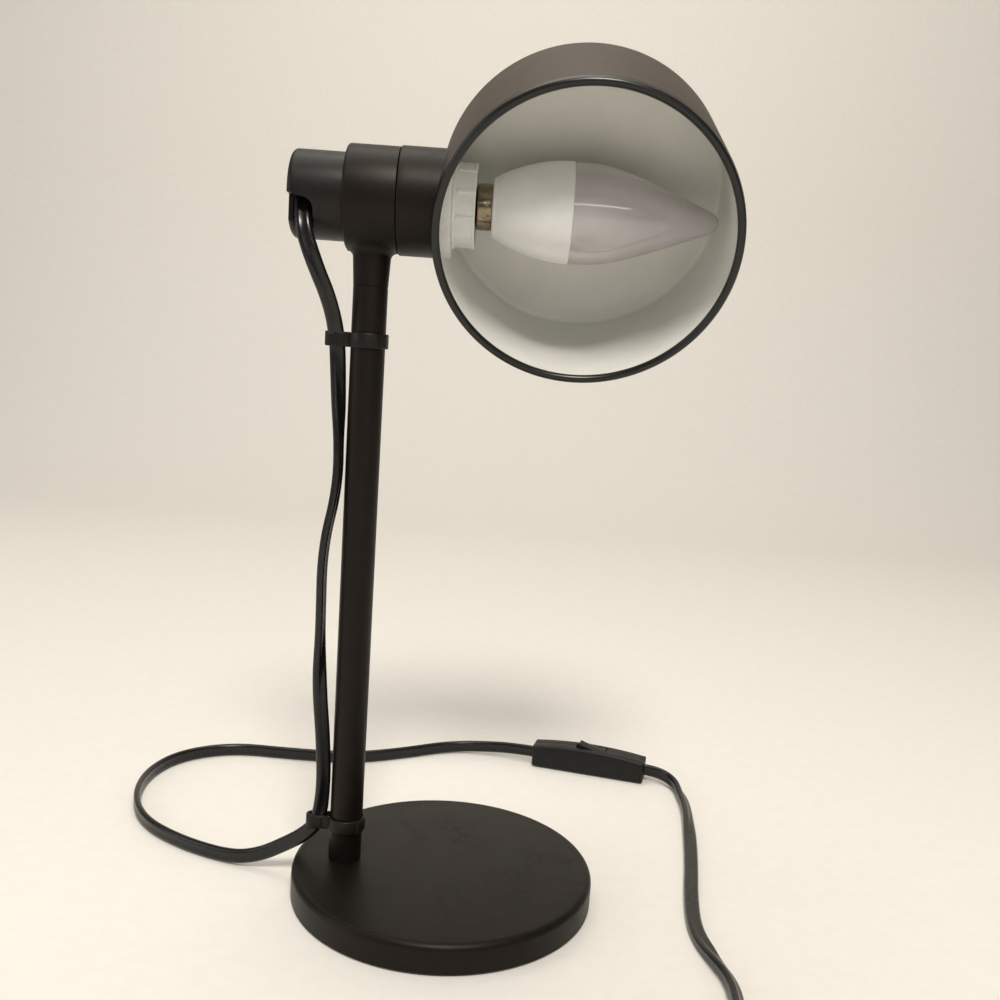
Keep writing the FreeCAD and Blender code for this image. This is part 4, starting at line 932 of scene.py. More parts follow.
# ---------------------------------------------------------------------------------------------------------------
# Shade and lamp holder
# ---------------------------------------------------------------------------------------------------------------
@dataclass
class Shade:
    """The drum with its rolled rim and white lining, and the white fittings that hold it."""

    barrel: Barrel
    front: float = 30.4 * MM
    back: float = 23.8 * MM
    corner: float = 3.0 * MM
    wall: float = 1.0 * MM
    bead: float = 1.5 * MM
    rib_count: int = 10

    @property
    def axis(self) -> Axis:
        """The drum's axis, from its back plate to its opening.

        Returns:
            The axis.
        """
        centre, _ = self.barrel.drum()
        x, y, z = self.barrel.pivot
        cos, sin = math.cos(self.barrel.tilt), math.sin(self.barrel.tilt)
        return Axis((x + centre, y, z), (0.0, -cos, -sin), (1.0, 0.0, 0.0))

    def build(self) -> None:
        """Builds the drum, its lining, and the fittings on the lamp holder."""
        self.drum()
        self.lining()
        self.flange()
        self.ring_nut()
        self.holder()

    def drum(self) -> None:
        """The drum: back plate, rounded corner, straight wall and a rolled bead round the opening."""
        _, radius = self.barrel.drum()
        inner = radius - self.wall
        bend = (-self.back + self.corner, radius - self.corner)
        ring = (self.front - self.bead, radius - 0.25 * MM - self.bead)
        meet = 180 + math.degrees(math.asin((inner - ring[1]) / self.bead))
        profile = np.concatenate([
            [(-self.back, 0.0)], arc(bend, self.corner, 180, 90, 10),
            [(ring[0] - 2.2 * MM, radius), (ring[0] - 1.0 * MM, radius - 0.04 * MM)],
            arc(ring, self.bead, 96, -meet, 28),
            [(bend[0], inner)], arc(bend, self.corner - self.wall, 90, 180, 8), [(-self.back + self.wall, 0.0)]])
        made = SHOP.turned("shade_drum", self.axis, profile, DRUM_POWDER, Body.SHADE, 224, closed=False)
        self.paint_rim_shade(made)
        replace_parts(made, "shade_shell")

    def paint_rim_shade(self, made: bpy.types.Object) -> None:
        """Gives the faces of the rolled bead a much darker, glossier copy of the drum's paint. The darkness is painted
        shade, since the bead carries the same paint as the drum.

        Args:
            made: the drum.
        """
        mesh = made.data
        mesh.materials.append(RIM_SHADE_POWDER.material())
        centres = np.zeros(len(mesh.polygons) * 3)
        mesh.polygons.foreach_get("center", centres)
        along = (centres.reshape(-1, 3) - np.array(self.axis.origin)) @ np.array(self.axis.direction)
        # Faces of the bead take the painted-shade copy of the drum's paint.
        rim = along > self.front - 1.9 * self.bead
        mesh.polygons.foreach_set("material_index", rim.astype(np.int32))
        mesh.update()

    def lining(self) -> None:
        """White enamel inside the drum, a thin skin that ends under the bead."""
        _, radius = self.barrel.drum()
        inner = radius - self.wall
        bend = (-self.back + self.corner, radius - self.corner)
        end = self.front - 2.6 * self.bead
        skins = []
        for gap, order in ((0.02 * MM, 1), (0.14 * MM, -1)):
            turn = self.corner - self.wall - gap
            skin = np.concatenate([[(-self.back + self.wall + gap, 0.0)], arc(bend, turn, 180, 90, 8),
                                   [(end, inner - gap)]])
            skins.append(skin[::order])
        made = SHOP.turned("shade_lining", self.axis, np.concatenate(skins), ENAMEL, Body.SHADE, 224, closed=False)

    def flange(self) -> None:
        """The spacer under the ring nut: its back follows the drum's inner wall."""
        low, high = span("holder_flange")
        face = high[0] - self.barrel.pivot[0]
        radius = (high[2] - low[2]) / 2
        _, drum_radius = self.barrel.drum()
        back = 0.0
        corners = [(back, 13.5 * MM, 0), (back, radius, 0), (face - 2 * MM, radius, 0), (face, radius, 0.5 * MM),
                   (face, 13.5 * MM, 0)]

        def seat(along: np.ndarray, spread: np.ndarray, angle: np.ndarray) -> tuple[np.ndarray, np.ndarray]:
            """Moves the back onto the drum's inner wall."""
            wall = self.barrel.wall_at(spread, angle, drum_radius - self.wall)
            return np.where(along < MM, wall, np.maximum(along, wall + 0.1 * MM)), spread
        made = SHOP.turned("holder_spacer", self.barrel.axis, rounded(corners), WHITE_PLASTIC, Body.SHADE, 144,
                           shape=seat)
        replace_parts(made, "holder_flange")

    def ring_nut(self) -> None:
        """The ring nut: a flat flange, a skirt with grip ribs and a small lip at its end."""
        low, high = span("shade_ring_nut")
        start, end = low[0] - self.barrel.pivot[0], high[0] - self.barrel.pivot[0]
        bore, skirt = 13.45 * MM, 14.8 * MM
        corners = [(start, bore, 0), (start, 15.8 * MM, 0.2 * MM), (start + 1.4 * MM, 15.8 * MM, 0.3 * MM),
                   (start + 1.4 * MM, skirt, 0.2 * MM), (end - 0.9 * MM, skirt, 0.15 * MM),
                   (end - 0.8 * MM, skirt + 0.3 * MM, 0.15 * MM), (end, skirt + 0.1 * MM, 0.3 * MM),
                   (end, bore, 0.4 * MM)]

        def ribs(along: np.ndarray, spread: np.ndarray, angle: np.ndarray) -> tuple[np.ndarray, np.ndarray]:
            """Raises rib_count ribs on the skirt: height * exp(-(distance / half width)^8).

            Args:
                along: distances along the axis.
                spread: distances from it.
                angle: angles about it.

            Returns:
                The changed distances along and from the axis.
            """
            step = 2 * math.pi / self.rib_count
            distance = np.abs((angle + step / 3) % step - step / 2) * skirt
            on_skirt = (spread > skirt - 0.05 * MM) & (along > start + 1.5 * MM)
            return along, spread + on_skirt * 0.4 * MM * np.exp(-(distance / (0.75 * MM))**8)
        profile = rounded(corners, steps=3)
        made = SHOP.turned("ring_nut", self.barrel.axis, profile, WHITE_PLASTIC, Body.SHADE, 480, shape=ribs)
        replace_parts(made, "shade_ring_nut")

    def holder(self) -> None:
        """The lamp holder: an outer thread for the ring nut and a stepped mouth."""
        low, high = span("lamp_holder_body")
        start, end = low[0] - self.barrel.pivot[0], high[0] - self.barrel.pivot[0]
        radius, mouth, bore = 13.3 * MM, 9.4 * MM, 7.65 * MM
        corners = [(start, 5.02 * MM, 0), (start, radius, 1.0 * MM), (end, radius, 0.4 * MM), (end, mouth, 0.5 * MM),
                   (end - 2.8 * MM, mouth, 0.2 * MM), (end - 2.8 * MM, bore, 0), (start + 6 * MM, bore, 0),
                   (start + 6 * MM, 5.02 * MM, 0)]
        made = SHOP.turned("holder_moulding", self.barrel.axis, rounded(corners), WHITE_PLASTIC, Body.SHADE, 128)
        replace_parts(made, "lamp_holder_body")


# ---------------------------------------------------------------------------------------------------------------
# Bulb
# ---------------------------------------------------------------------------------------------------------------
@dataclass
class Bulb:
    """The candle bulb: screw cap, flared white housing and frosted cover."""

    barrel: Barrel
    pitch: float = 2.8 * MM
    wall: float = 1.1 * MM
    dimple_count: int = 12

    def build(self) -> None:
        """Builds the bulb's three outer pieces."""
        self.cap()
        self.housing()
        self.cover()

    def cap(self) -> None:
        """The screw cap: a helical thread, a flare and a plain collar with punched dimples."""
        low, high = span("bulb_cap")
        start, end = low[0] - self.barrel.pivot[0], high[0] - self.barrel.pivot[0]
        collar = (high[2] - low[2]) / 2
        root, crest, shell = 6.45 * MM, 6.95 * MM, 0.4 * MM
        thread_end = start + 10 * MM
        thread = np.stack([np.linspace(start, thread_end, 61), np.full(61, root)], axis=1)
        dimpled = np.stack([np.linspace(end - 2.4 * MM, end - 0.8 * MM, 12), np.full(12, collar)], axis=1)
        bend_steps = 5
        flare = rounded([(thread_end + 0.2 * MM, root, 0), (thread_end + 1.2 * MM, collar, 0.4 * MM),
                         (end - 0.5 * MM, collar, 0.1 * MM), (end, collar - 0.1 * MM, 0)], closed=False,
                        steps=bend_steps)
        before_dimples = bend_steps + 2
        outer = np.concatenate([thread, flare[:before_dimples], dimpled, flare[before_dimples:]])
        inner = np.array([(end, collar - shell), (thread_end + 1.3 * MM, collar - shell),
                          (thread_end + 0.2 * MM, root - shell), (start, root - shell)])

        def worked(along: np.ndarray, spread: np.ndarray, angle: np.ndarray) -> tuple[np.ndarray, np.ndarray]:
            """Adds the thread, (crest - root) * (1 - cos(turns)) / 2, and presses in the dimples.

            Args:
                along: distances along the axis.
                spread: distances from it.
                angle: angles about it.

            Returns:
                The changed distances along and from the axis.
            """
            turns = 2 * math.pi * (along - start) / self.pitch - angle
            fade = np.clip((along - start) / self.pitch, 0, 1) * np.clip((thread_end - along) / self.pitch, 0, 1)
            on_thread = (np.abs(spread - root) < 1e-7) & (along <= thread_end)
            step = 2 * math.pi / self.dimple_count
            across = ((angle + step / 2) % step - step / 2) * collar
            deep = 0.3 * MM * np.exp(-(across**2 + (along - (end - 1.5 * MM))**2) / (0.42 * MM)**2)
            raised = on_thread * fade * (crest - root) * (1 - np.cos(turns)) / 2
            return along, spread + raised - (spread > collar - 1e-7) * deep
        profile = np.concatenate([outer, inner])
        made = SHOP.turned("screw_cap", self.barrel.axis, profile, CAP_METAL, Body.BULB, 288, shape=worked)
        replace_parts(made, "bulb_cap")

    def housing(self) -> None:
        """The flared housing: radius = neck + (rim - neck) * sin(share of the length, slightly eased)."""
        low, high = span("bulb_housing")
        start, end = low[0] - self.barrel.pivot[0], high[0] - self.barrel.pivot[0]
        rim, neck = (high[2] - low[2]) / 2, 10.0 * MM
        share = np.linspace(0, 1, 40)
        along = start + MM + (end - 0.25 * MM - start - MM) * share
        radius = neck + 1.1 * MM + (rim - neck - 1.1 * MM) * np.sin(share**0.86 * math.pi / 2)
        flare = np.stack([along, radius], axis=1)
        shoulder = arc((start + MM, neck), 1.1 * MM, 178, 100, 6)
        outer = np.concatenate([[(start, 5.0 * MM)], shoulder, flare, [(end, rim - 0.25 * MM)]])
        inner = np.stack([along, radius - self.wall], axis=1)[::-1]
        inner = inner[inner[:, 0] > start + 1.6 * MM]
        profile = np.concatenate([outer, [(end, rim - self.wall)], inner, [(start + 1.5 * MM, 5.0 * MM)]])
        made = SHOP.turned("bulb_shell", self.barrel.axis, profile, BULB_WHITE, Body.BULB, 160)
        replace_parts(made, "bulb_housing")

    def cover(self) -> None:
        """The candle-shaped cover, a cubic curve through its shoulder, taper and tip, turned and hollow."""
        low, high = span("bulb_diffuser")
        start, end = low[0] - self.barrel.pivot[0], high[0] - self.barrel.pivot[0]
        wide = 18.3 * MM
        skins = []
        for inset, order in ((0.0, 1), (1.0 * MM, -1)):
            poles = np.array([(start, wide - inset), (start + 10.4 * MM, 18.9 * MM - inset),
                              (start + 23.9 * MM, 14.9 * MM - inset), (start + 39.4 * MM, 9.0 * MM - inset),
                              (end - 5.9 * MM, 5.0 * MM - inset * 0.8), (end - inset, 3.0 * MM - inset),
                              (end - inset, 0.0)])
            skins.append(self.cubic(poles, 70)[::order])
        profile = np.concatenate([skins[0], skins[1]])
        made = SHOP.turned("bulb_cover", self.barrel.axis, profile, FROST, Body.BULB, 160)
        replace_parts(made, "bulb_diffuser")

    def cubic(self, poles: np.ndarray, count: int) -> np.ndarray:
        """Points on the clamped cubic B-spline of some poles, by blending neighbours (de Boor).

        Args:
            poles: along and radius of each control point.
            count: how many points are worked out.

        Returns:
            One row of along and radius for each point.
        """
        degree, last = 3, len(poles) - 3
        knots = np.concatenate([np.zeros(degree), np.arange(last + 1), np.full(degree, last)]).astype(float)
        value = np.linspace(0, last, count)
        value[-1] -= 1e-9
        index = np.searchsorted(knots, value, side="right") - 1
        blend = np.stack([poles[index - degree + step] for step in range(degree + 1)], axis=1)
        for level in range(1, degree + 1):
            for step in range(degree, level - 1, -1):
                left = knots[index - degree + step]
                share = ((value - left) / (knots[index + 1 + step - level] - left))[:, None]
                blend[:, step] = (1 - share) * blend[:, step - 1] + share * blend[:, step]
        made = blend[:, degree]
        made[-1] = poles[-1]
        return made


# ---------------------------------------------------------------------------------------------------------------
# Cord and clips
# ---------------------------------------------------------------------------------------------------------------
@dataclass
class Cord:
    """The flat two-core cord, from the rear plug through the switch to the tied coil and the mains plug."""

    half_width: float = 3.05 * MM
    half_thickness: float = 1.55 * MM
    groove: float = 0.34
    coil_centre: tuple[float, float] = (74.4, -125.0)
    turn_points: int = 16
    full_turns: int = 4
    twist_reach: float = 1.6

    LAMP_SIDE = [
        (-66.0, -6.6, 273.4, Lay.ACROSS),
        (-65.2, -9.6, 267.6, Lay.ACROSS),
        (-64.0, -14.0, 259.5, Lay.ACROSS),
        (-59.5, -13.5, 247.5, Lay.HALF_TURNED),
        (-54.8, -6.5, 235.5, Lay.HALF_TURNED),
        (-52.4, -0.2, 223.0, Lay.ACROSS),
        (-51.5, 0.6, 208.0, Lay.HALF_TURNED),
        (-50.0, -1.6, 187.0, Lay.EDGE_ON),
        (-49.4, -2.0, 165.0, Lay.EDGE_ON),
        (-54.3, -2.4, 141.0, Lay.EDGE_ON),
        (-54.1, -1.6, 113.0, Lay.EDGE_ON),
        (-53.5, -2.6, 86.0, Lay.HALF_TURNED),
        (-51.0, -2.0, 62.0, Lay.HALF_TURNED),
        (-50.0, -2.2, 43.0, Lay.HALF_TURNED),
        (-51.7, -0.8, 27.0, Lay.ACROSS),
        (-57.8, 1.4, 19.6, Lay.ON_EDGE),
        (-67.0, 5.0, 12.6, Lay.ON_EDGE),
        (-77.5, 8.0, 6.0, Lay.ON_EDGE),
        (-90.0, 10.0, 3.1, Lay.ON_EDGE),
        (-114.0, 20.5, 3.1, Lay.ON_EDGE),
        (-136.0, 37.5, 3.1, Lay.ON_EDGE),
        (-148.5, 62.0, 3.1, Lay.ON_EDGE),
        (-151.5, 90.0, 3.1, Lay.ON_EDGE),
        (-142.5, 114.0, 3.1, Lay.ON_EDGE),
        (-119.0, 128.0, 3.1, Lay.ON_EDGE),
        (-88.0, 125.2, 3.1, Lay.ON_EDGE),
        (-56.0, 124.5, 3.1, Lay.ON_EDGE),
        (-31.0, 134.5, 3.1, Lay.ON_EDGE),
        (-4.0, 150.0, 3.1, Lay.ON_EDGE),
        (19.5, 149.3, 4.6, Lay.ON_EDGE),
        (33.8, 144.1, 6.2, Lay.ON_EDGE),
        (42.5, 141.7, 6.2, Lay.ON_EDGE),
    ]
    PLUG_SIDE = [
        (101.1, 125.9, 6.2, Lay.ON_EDGE),
        (108.0, 124.1, 5.9, Lay.ON_EDGE),
        (114.3, 118.4, 4.6, Lay.ON_EDGE),
        (117.2, 107.0, 3.5, Lay.LEANING),
        (117.8, 90.0, 3.1, Lay.LEANING),
        (114.8, 64.0, 2.2, Lay.FLAT),
        (109.9, 32.0, 1.7, Lay.FLAT),
        (104.2, 2.0, 1.7, Lay.FLAT),
        (101.0, -24.0, 2.0, Lay.FLAT),
        (104.4, -44.0, 3.0, Lay.LEANING),
        (108.8, -60.0, 3.2, Lay.LEANING),
        (106.4, -79.0, 3.1, Lay.ON_EDGE),
        (106.4, -98.0, 3.1, Lay.ON_EDGE),
        (107.4, -112.0, 3.1, Lay.ON_EDGE),
        (107.4, -125.0, 3.1, Lay.ON_EDGE),
    ]
    TAIL = [
        (62.0, -158.0, 8.4, Lay.ON_EDGE),
        (49.0, -157.0, 6.9, Lay.ON_EDGE),
        (39.0, -157.0, 6.5, Lay.ON_EDGE),
        (30.5, -157.0, 6.5, Lay.ON_EDGE),
    ]

    def build(self) -> None:
        lamp_side, lamp_path = self.length("cord_to_switch", self.LAMP_SIDE)
        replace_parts(lamp_side, "cord_lamp_side")
        plug_side, plug_path = self.length("cord_to_plug", self.PLUG_SIDE + self.coil() + self.TAIL)
        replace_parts(plug_side, "cord_plug_side", "cord_coil", "cord_tail")
        self.made = ((lamp_side, lamp_path), (plug_side, plug_path))

    def declare(self, switch_pieces: list[bpy.types.Object], plug_pieces: list[bpy.types.Object]) -> None:
        """Logs how long each of the two cords is.

        Args:
            switch_pieces: the switch's pieces, on the lamp's side.
            plug_pieces: the plug's pieces and the coil's tie.
        """
        for (piece, path), far_end, lay, pieces in (
                (self.made[0], "fitting", "loose", switch_pieces), (self.made[1], "plug", "coiled", plug_pieces)):
            run = float(np.linalg.norm(np.diff(path, axis=0), axis=1).sum())
            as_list(pieces)
            log.info("%s is %.3f m long", piece.name, run)

    def coil(self) -> list[tuple[float, float, float, Lay]]:
        """The tied coil: turns about its centre, out and in again, and a quarter turn more to the plug.

        Returns:
            x, y, z in millimetres and the broad side's direction at each point.
        """
        step = 2 * math.pi / self.turn_points
        points = []
        count = self.full_turns * self.turn_points + self.turn_points // 4
        for index in range(1, count + 1):
            turn = index / self.turn_points
            radius = np.interp(turn, (0, 0.8, 1.2, 2.8, 3.2, 5), (33, 33, 27, 27, 33, 33)) / math.cos(step / 2)
            height = np.interp(turn, (0, 1.8, 2.2, 5), (3.1, 3.1, 9.1, 9.0))
            angle = -index * step
            points.append((self.coil_centre[0] + radius * math.cos(angle),
                           self.coil_centre[1] + radius * math.sin(angle), float(height), Lay.ON_EDGE))
        return points

    def section(self) -> np.ndarray:
        """The cord's outline: two round cores side by side, with a groove along each broad side.

        x = offset * tanh(4 cos) + thickness * cos, y = thickness * sin * (1 - groove * exp(-(x / core)^2)).

        Returns:
            Distance along the broad side and across it, for each point.
        """
        angle = np.linspace(0, 2 * math.pi, 40, endpoint=False)
        offset = self.half_width - self.half_thickness
        across = offset * np.tanh(4 * np.cos(angle)) + self.half_thickness * np.cos(angle)
        dip = 1 - self.groove * np.exp(-(across / (0.55 * MM))**2)
        return np.stack([across, self.half_thickness * np.sin(angle) * dip], axis=1)

    def length(self, name: str, route: list) -> tuple[bpy.types.Object, np.ndarray]:
        """One length of cord: a smooth spline on the route's points, and the flat section carried along it.

        Args:
            name: the piece's name.
            route: x, y, z in millimetres and the broad side's direction at each point.

        Returns:
            The piece and the line that it follows.
        """
        path = self.spline(name + "_line", np.array([point[:3] for point in route]) * MM)
        tangent = np.gradient(path, axis=0)
        tangent /= np.linalg.norm(tangent, axis=1, keepdims=True)
        position = np.linspace(0, len(route) - 1, len(path))
        nearest = np.clip(np.round(position).astype(int), 0, len(route) - 1)
        wanted = np.array([point[3].value for point in route])[nearest]
        sideways = np.cross(tangent, (0.0, 0.0, 1.0))
        wanted = np.where(np.linalg.norm(wanted, axis=1, keepdims=True) < 0.1, sideways, wanted)
        wanted = wanted - np.sum(wanted * tangent, axis=1, keepdims=True) * tangent
        wanted /= np.linalg.norm(wanted, axis=1, keepdims=True)
        same_way = np.where(np.sum(wanted[1:] * wanted[:-1], axis=1) < 0, -1, 1)
        wanted[1:] *= np.cumprod(same_way)[:, None]
        window = max(3, int(self.twist_reach * len(path) / len(route)) | 1)
        padded = np.pad(wanted, ((window // 2, window // 2), (0, 0)), mode="edge")
        kernel = np.hanning(window + 2)[1:-1]
        smooth = np.stack([np.convolve(padded[:, axis], kernel / kernel.sum(), mode="valid") for axis in range(3)],
                          axis=1)
        points, faces = SHOP.swept(path, smooth, self.section())
        made = SHOP.build(name, points, faces, CORD_BLACK, Body.STAND, sharp=60.0)
        return made, path

    def spline(self, name: str, points: np.ndarray) -> np.ndarray:
        """The smooth line that some control points give, as Blender's own quadratic spline works it out.

        Args:
            name: the line's name while it is worked out.
            points: the control points, in metres.

        Returns:
            Points along the line.
        """
        curve = bpy.data.curves.new(name, "CURVE")
        curve.dimensions = "3D"
        line = curve.splines.new("NURBS")
        line.points.add(len(points) - 1)
        line.points.foreach_set("co", np.concatenate([points, np.ones((len(points), 1))], axis=1).ravel())
        line.order_u = 3
        line.use_endpoint_u = True
        line.resolution_u = 10
        holder = bpy.data.objects.new(name, curve)
        bpy.context.scene.collection.objects.link(holder)
        bpy.context.view_layer.update()
        graph = bpy.context.evaluated_depsgraph_get()
        mesh = bpy.data.meshes.new_from_object(holder.evaluated_get(graph), depsgraph=graph)
        path = np.zeros(len(mesh.vertices) * 3)
        mesh.vertices.foreach_get("co", path)
        bpy.data.objects.remove(holder)
        bpy.data.meshes.remove(mesh)
        return path.reshape(-1, 3)


@dataclass
class Clips:
    """The two springy bands that hold the cord to the stem."""

    wall: float = 1.1 * MM
    loop: tuple[float, float] = (3.3 * MM, 1.75 * MM)

    def build(self) -> None:
        """Builds both clips."""
        for node in ("upper_cord_clip", "lower_cord_clip"):
            self.clip(node)

    def clip(self, node: str) -> None:
        """A band of one thickness that runs round the stem, past the waist and round the cord.

        Args:
            node: the CAD node that it stands for.
        """
        low, high = span(node)
        stem_low, stem_high = span("stem_tube")
        centre, stem = (stem_low[0] + stem_high[0]) / 2, (stem_high[0] - stem_low[0]) / 2
        around = stem + 0.05 * MM + self.wall / 2
        cord = centre - 12.0 * MM
        straight, half = self.loop[0] - self.loop[1], self.loop[1] + self.wall / 2
        meeting = 160.0
        path = np.concatenate([
            arc((0.0, 0.0), around, -42, meeting, 44),
            arc((cord - centre + straight, 0.0), half, 62, 90, 5),
            arc((cord - centre - straight, 0.0), half, 90, 270, 20),
            arc((cord - centre + straight, 0.0), half, 270, 298, 5),
            arc((0.0, 0.0), around, -meeting, -47, 34)])
        line = np.stack([path[:, 0] + centre, path[:, 1], np.full(len(path), (low[2] + high[2]) / 2)], axis=1)
        height = (high[2] - low[2]) / 2
        section = rounded([(-height, -self.wall / 2, 0.3 * MM), (height, -self.wall / 2, 0.3 * MM),
                           (height, self.wall / 2, 0.45 * MM), (-height, self.wall / 2, 0.45 * MM)], steps=3)
        up = np.repeat([[0.0, 0.0, 1.0]], len(line), axis=0)
        points, faces = SHOP.swept(line, up, section)
        made = SHOP.build(node.replace("cord_clip", "band"), points, faces, BLACK_PLASTIC, Body.STAND, sharp=40.0)
        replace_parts(made, node)
        self.catch(node, centre, around, low[2], high[2])

    def catch(self, node: str, centre: float, around: float, low: float, high: float) -> None:
        """The small catch where the band's two ends close on the stem's front.

        Args:
            node: the CAD node of its band.
            centre: where the stem's axis is along X.
            around: radius of the band's middle line.
            low: height of its lower face.
            high: height of its upper face.
        """
        def place(across: np.ndarray, out: np.ndarray, level: np.ndarray) -> np.ndarray:
            """Turns a small outline to the catch's place on the stem.

            Args:
                across: distances round the stem.
                out: distances outward from the band's middle line.
                level: heights.

            Returns:
                One row of x, y, z for each point.
            """
            turn = math.radians(-44)
            reach = around + out
            return np.stack([centre + reach * math.cos(turn) - across * math.sin(turn),
                             reach * math.sin(turn) + across * math.cos(turn), level], axis=1)
        outline = rounded([(-0.95 * MM, -0.4 * MM, 0.2 * MM), (0.95 * MM, -0.4 * MM, 0.2 * MM),
                           (0.8 * MM, 1.2 * MM, 0.35 * MM), (-0.8 * MM, 1.2 * MM, 0.35 * MM)], steps=3)
        made = SHOP.slab(node.replace("cord_clip", "catch"), outline, place, low, high, (0.3 * MM, 0.3 * MM),
                         BLACK_PLASTIC, Body.STAND)


# ---------------------------------------------------------------------------------------------------------------
# Inline switch
# ---------------------------------------------------------------------------------------------------------------
@dataclass
class Switch:
    """The inline switch: two crowned half shells with a seam between them, and a rocker in their top."""

    length: float = 60.6 * MM
    width: float = 12.6 * MM
    end_height: float = 11.2 * MM
    crown: float = 13.4 * MM
    heading: float = math.radians(-15.1)
    centre: tuple[float, float] = (71.8 * MM, 133.8 * MM)
    floor: float = 0.2 * MM
    rocker_offset: float = 1.2 * MM
    rocker_length: float = 15.0 * MM
    rocker_width: float = 6.4 * MM
    rocker_tilt: float = math.radians(10.0)
    pivot_height: float = 10.6 * MM

    def place(self, along: np.ndarray, across: np.ndarray, up: np.ndarray) -> np.ndarray:
        """Points from the switch's own frame in the row frame.

        Args:
            along: distances along the switch.
            across: distances to its side.
            up: heights above its underside.

        Returns:
            One row of x, y, z for each point.
        """
        cos, sin = math.cos(self.heading), math.sin(self.heading)
        return np.stack([self.centre[0] + along * cos - across * sin, self.centre[1] + along * sin + across * cos,
                         up + self.floor], axis=1)

    def build(self) -> list[bpy.types.Object]:
        """Builds the switch and returns its pieces."""
        return [*self.shells(), self.rocker()]

    def side(self) -> np.ndarray:
        """The side view: straight ends, rounded corners and an arched top.

        Returns:
            Distance along the switch and height of each point.
        """
        half, corner = self.length / 2, 1.2 * MM
        rise = self.crown - self.end_height
        bow = (half**2 + rise**2) / (2 * rise)
        lean = math.degrees(math.asin((half - corner) / bow))
        top = arc((0.0, self.crown - bow), bow, 90 + lean, 90 - lean, 40)
        ends = [(half, top[-1][1] - 0.25 * corner), (half, corner), (half - 0.3 * corner, 0.3 * corner),
                (half - corner, 0.0), (corner - half, 0.0), (0.3 * corner - half, 0.3 * corner), (-half, corner),
                (-half, top[0][1] - 0.25 * corner)]
        return np.concatenate([top, ends])

    def shells(self) -> list[bpy.types.Object]:
        """The two half shells, with a rounded outer face, a softened seam and a window for the rocker.

        Returns:
            The two shells.
        """
        made = []
        for side, node in ((-1, "switch_front_shell"), (1, "switch_back_shell")):
            def place(along: np.ndarray, up: np.ndarray, depth: np.ndarray, side: int = side) -> np.ndarray:
                """Depth runs from the seam to the outer face."""
                return self.place(along, depth * side, up)
            shell = SHOP.slab(node.replace("_shell", "_half"), self.side(), place, 0.03 * MM, self.width / 2,
                              (0.22 * MM, 1.5 * MM), SWITCH_PLASTIC, Body.STAND)
            SHOP.carve(shell, self.window())
            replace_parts(shell, node)
            made.append(shell)
        return made

    def window(self) -> bpy.types.Object:
        """The rocker's opening, as a solid to cut with.

        Returns:
            The cutter.
        """
        half, wide = self.rocker_length / 2 + 0.85 * MM, self.rocker_width / 2 + 0.3 * MM
        corner = 0.7 * MM
        outline = rounded([(self.rocker_offset - half, -wide, corner), (self.rocker_offset + half, -wide, corner),
                           (self.rocker_offset + half, wide, corner), (self.rocker_offset - half, wide, corner)])
        return SHOP.slab("window_cutter", outline, self.place, self.pivot_height - 4 * MM, self.crown + 3 * MM,
                         (0.0, 0.0), SWITCH_PLASTIC, Body.STAND)

    def rocker(self) -> bpy.types.Object:
        """The rocker: a saddle between two raised ends with grip ribs, turned about its pivot.

        Returns:
            The rocker.
        """
        half, base = self.rocker_length / 2, self.pivot_height - 2.0 * MM
        tip, saddle = self.crown + 1.3 * MM, self.crown + 0.4 * MM
        along = np.linspace(0.6 * MM - half, half - 0.6 * MM, 61)
        share = along / half
        top = saddle + (tip - saddle) * share**2 - 0.12 * MM * (np.abs(share) > 0.45) * (
            0.5 - 0.5 * np.cos(2 * math.pi * along / (0.95 * MM)))
        outline = np.concatenate([
            np.stack([along, top], axis=1)[::-1],
            [(-half, tip - 0.6 * MM), (-half, self.pivot_height + 1.6 * MM), (-2.5 * MM, base), (2.5 * MM, base),
             (half, self.pivot_height + 1.6 * MM), (half, tip - 0.6 * MM)]])
        cos, sin = math.cos(self.rocker_tilt), math.sin(self.rocker_tilt)

        def place(run: np.ndarray, up: np.ndarray, depth: np.ndarray) -> np.ndarray:
            """Turns the rocker's side view about its pivot and puts it in the window.

            Args:
                run: distances along the rocker.
                up: heights in the side view.
                depth: distances across the rocker.

            Returns:
                One row of x, y, z for each point.
            """
            rise = up - self.pivot_height
            return self.place(self.rocker_offset + run * cos + rise * sin, depth,
                              self.pivot_height + rise * cos - run * sin)
        made = SHOP.slab("rocker_key", outline, place, -self.rocker_width / 2, self.rocker_width / 2,
                         (0.35 * MM, 0.35 * MM), SWITCH_PLASTIC, Body.ROCKER)
        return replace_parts(made, "switch_rocker")


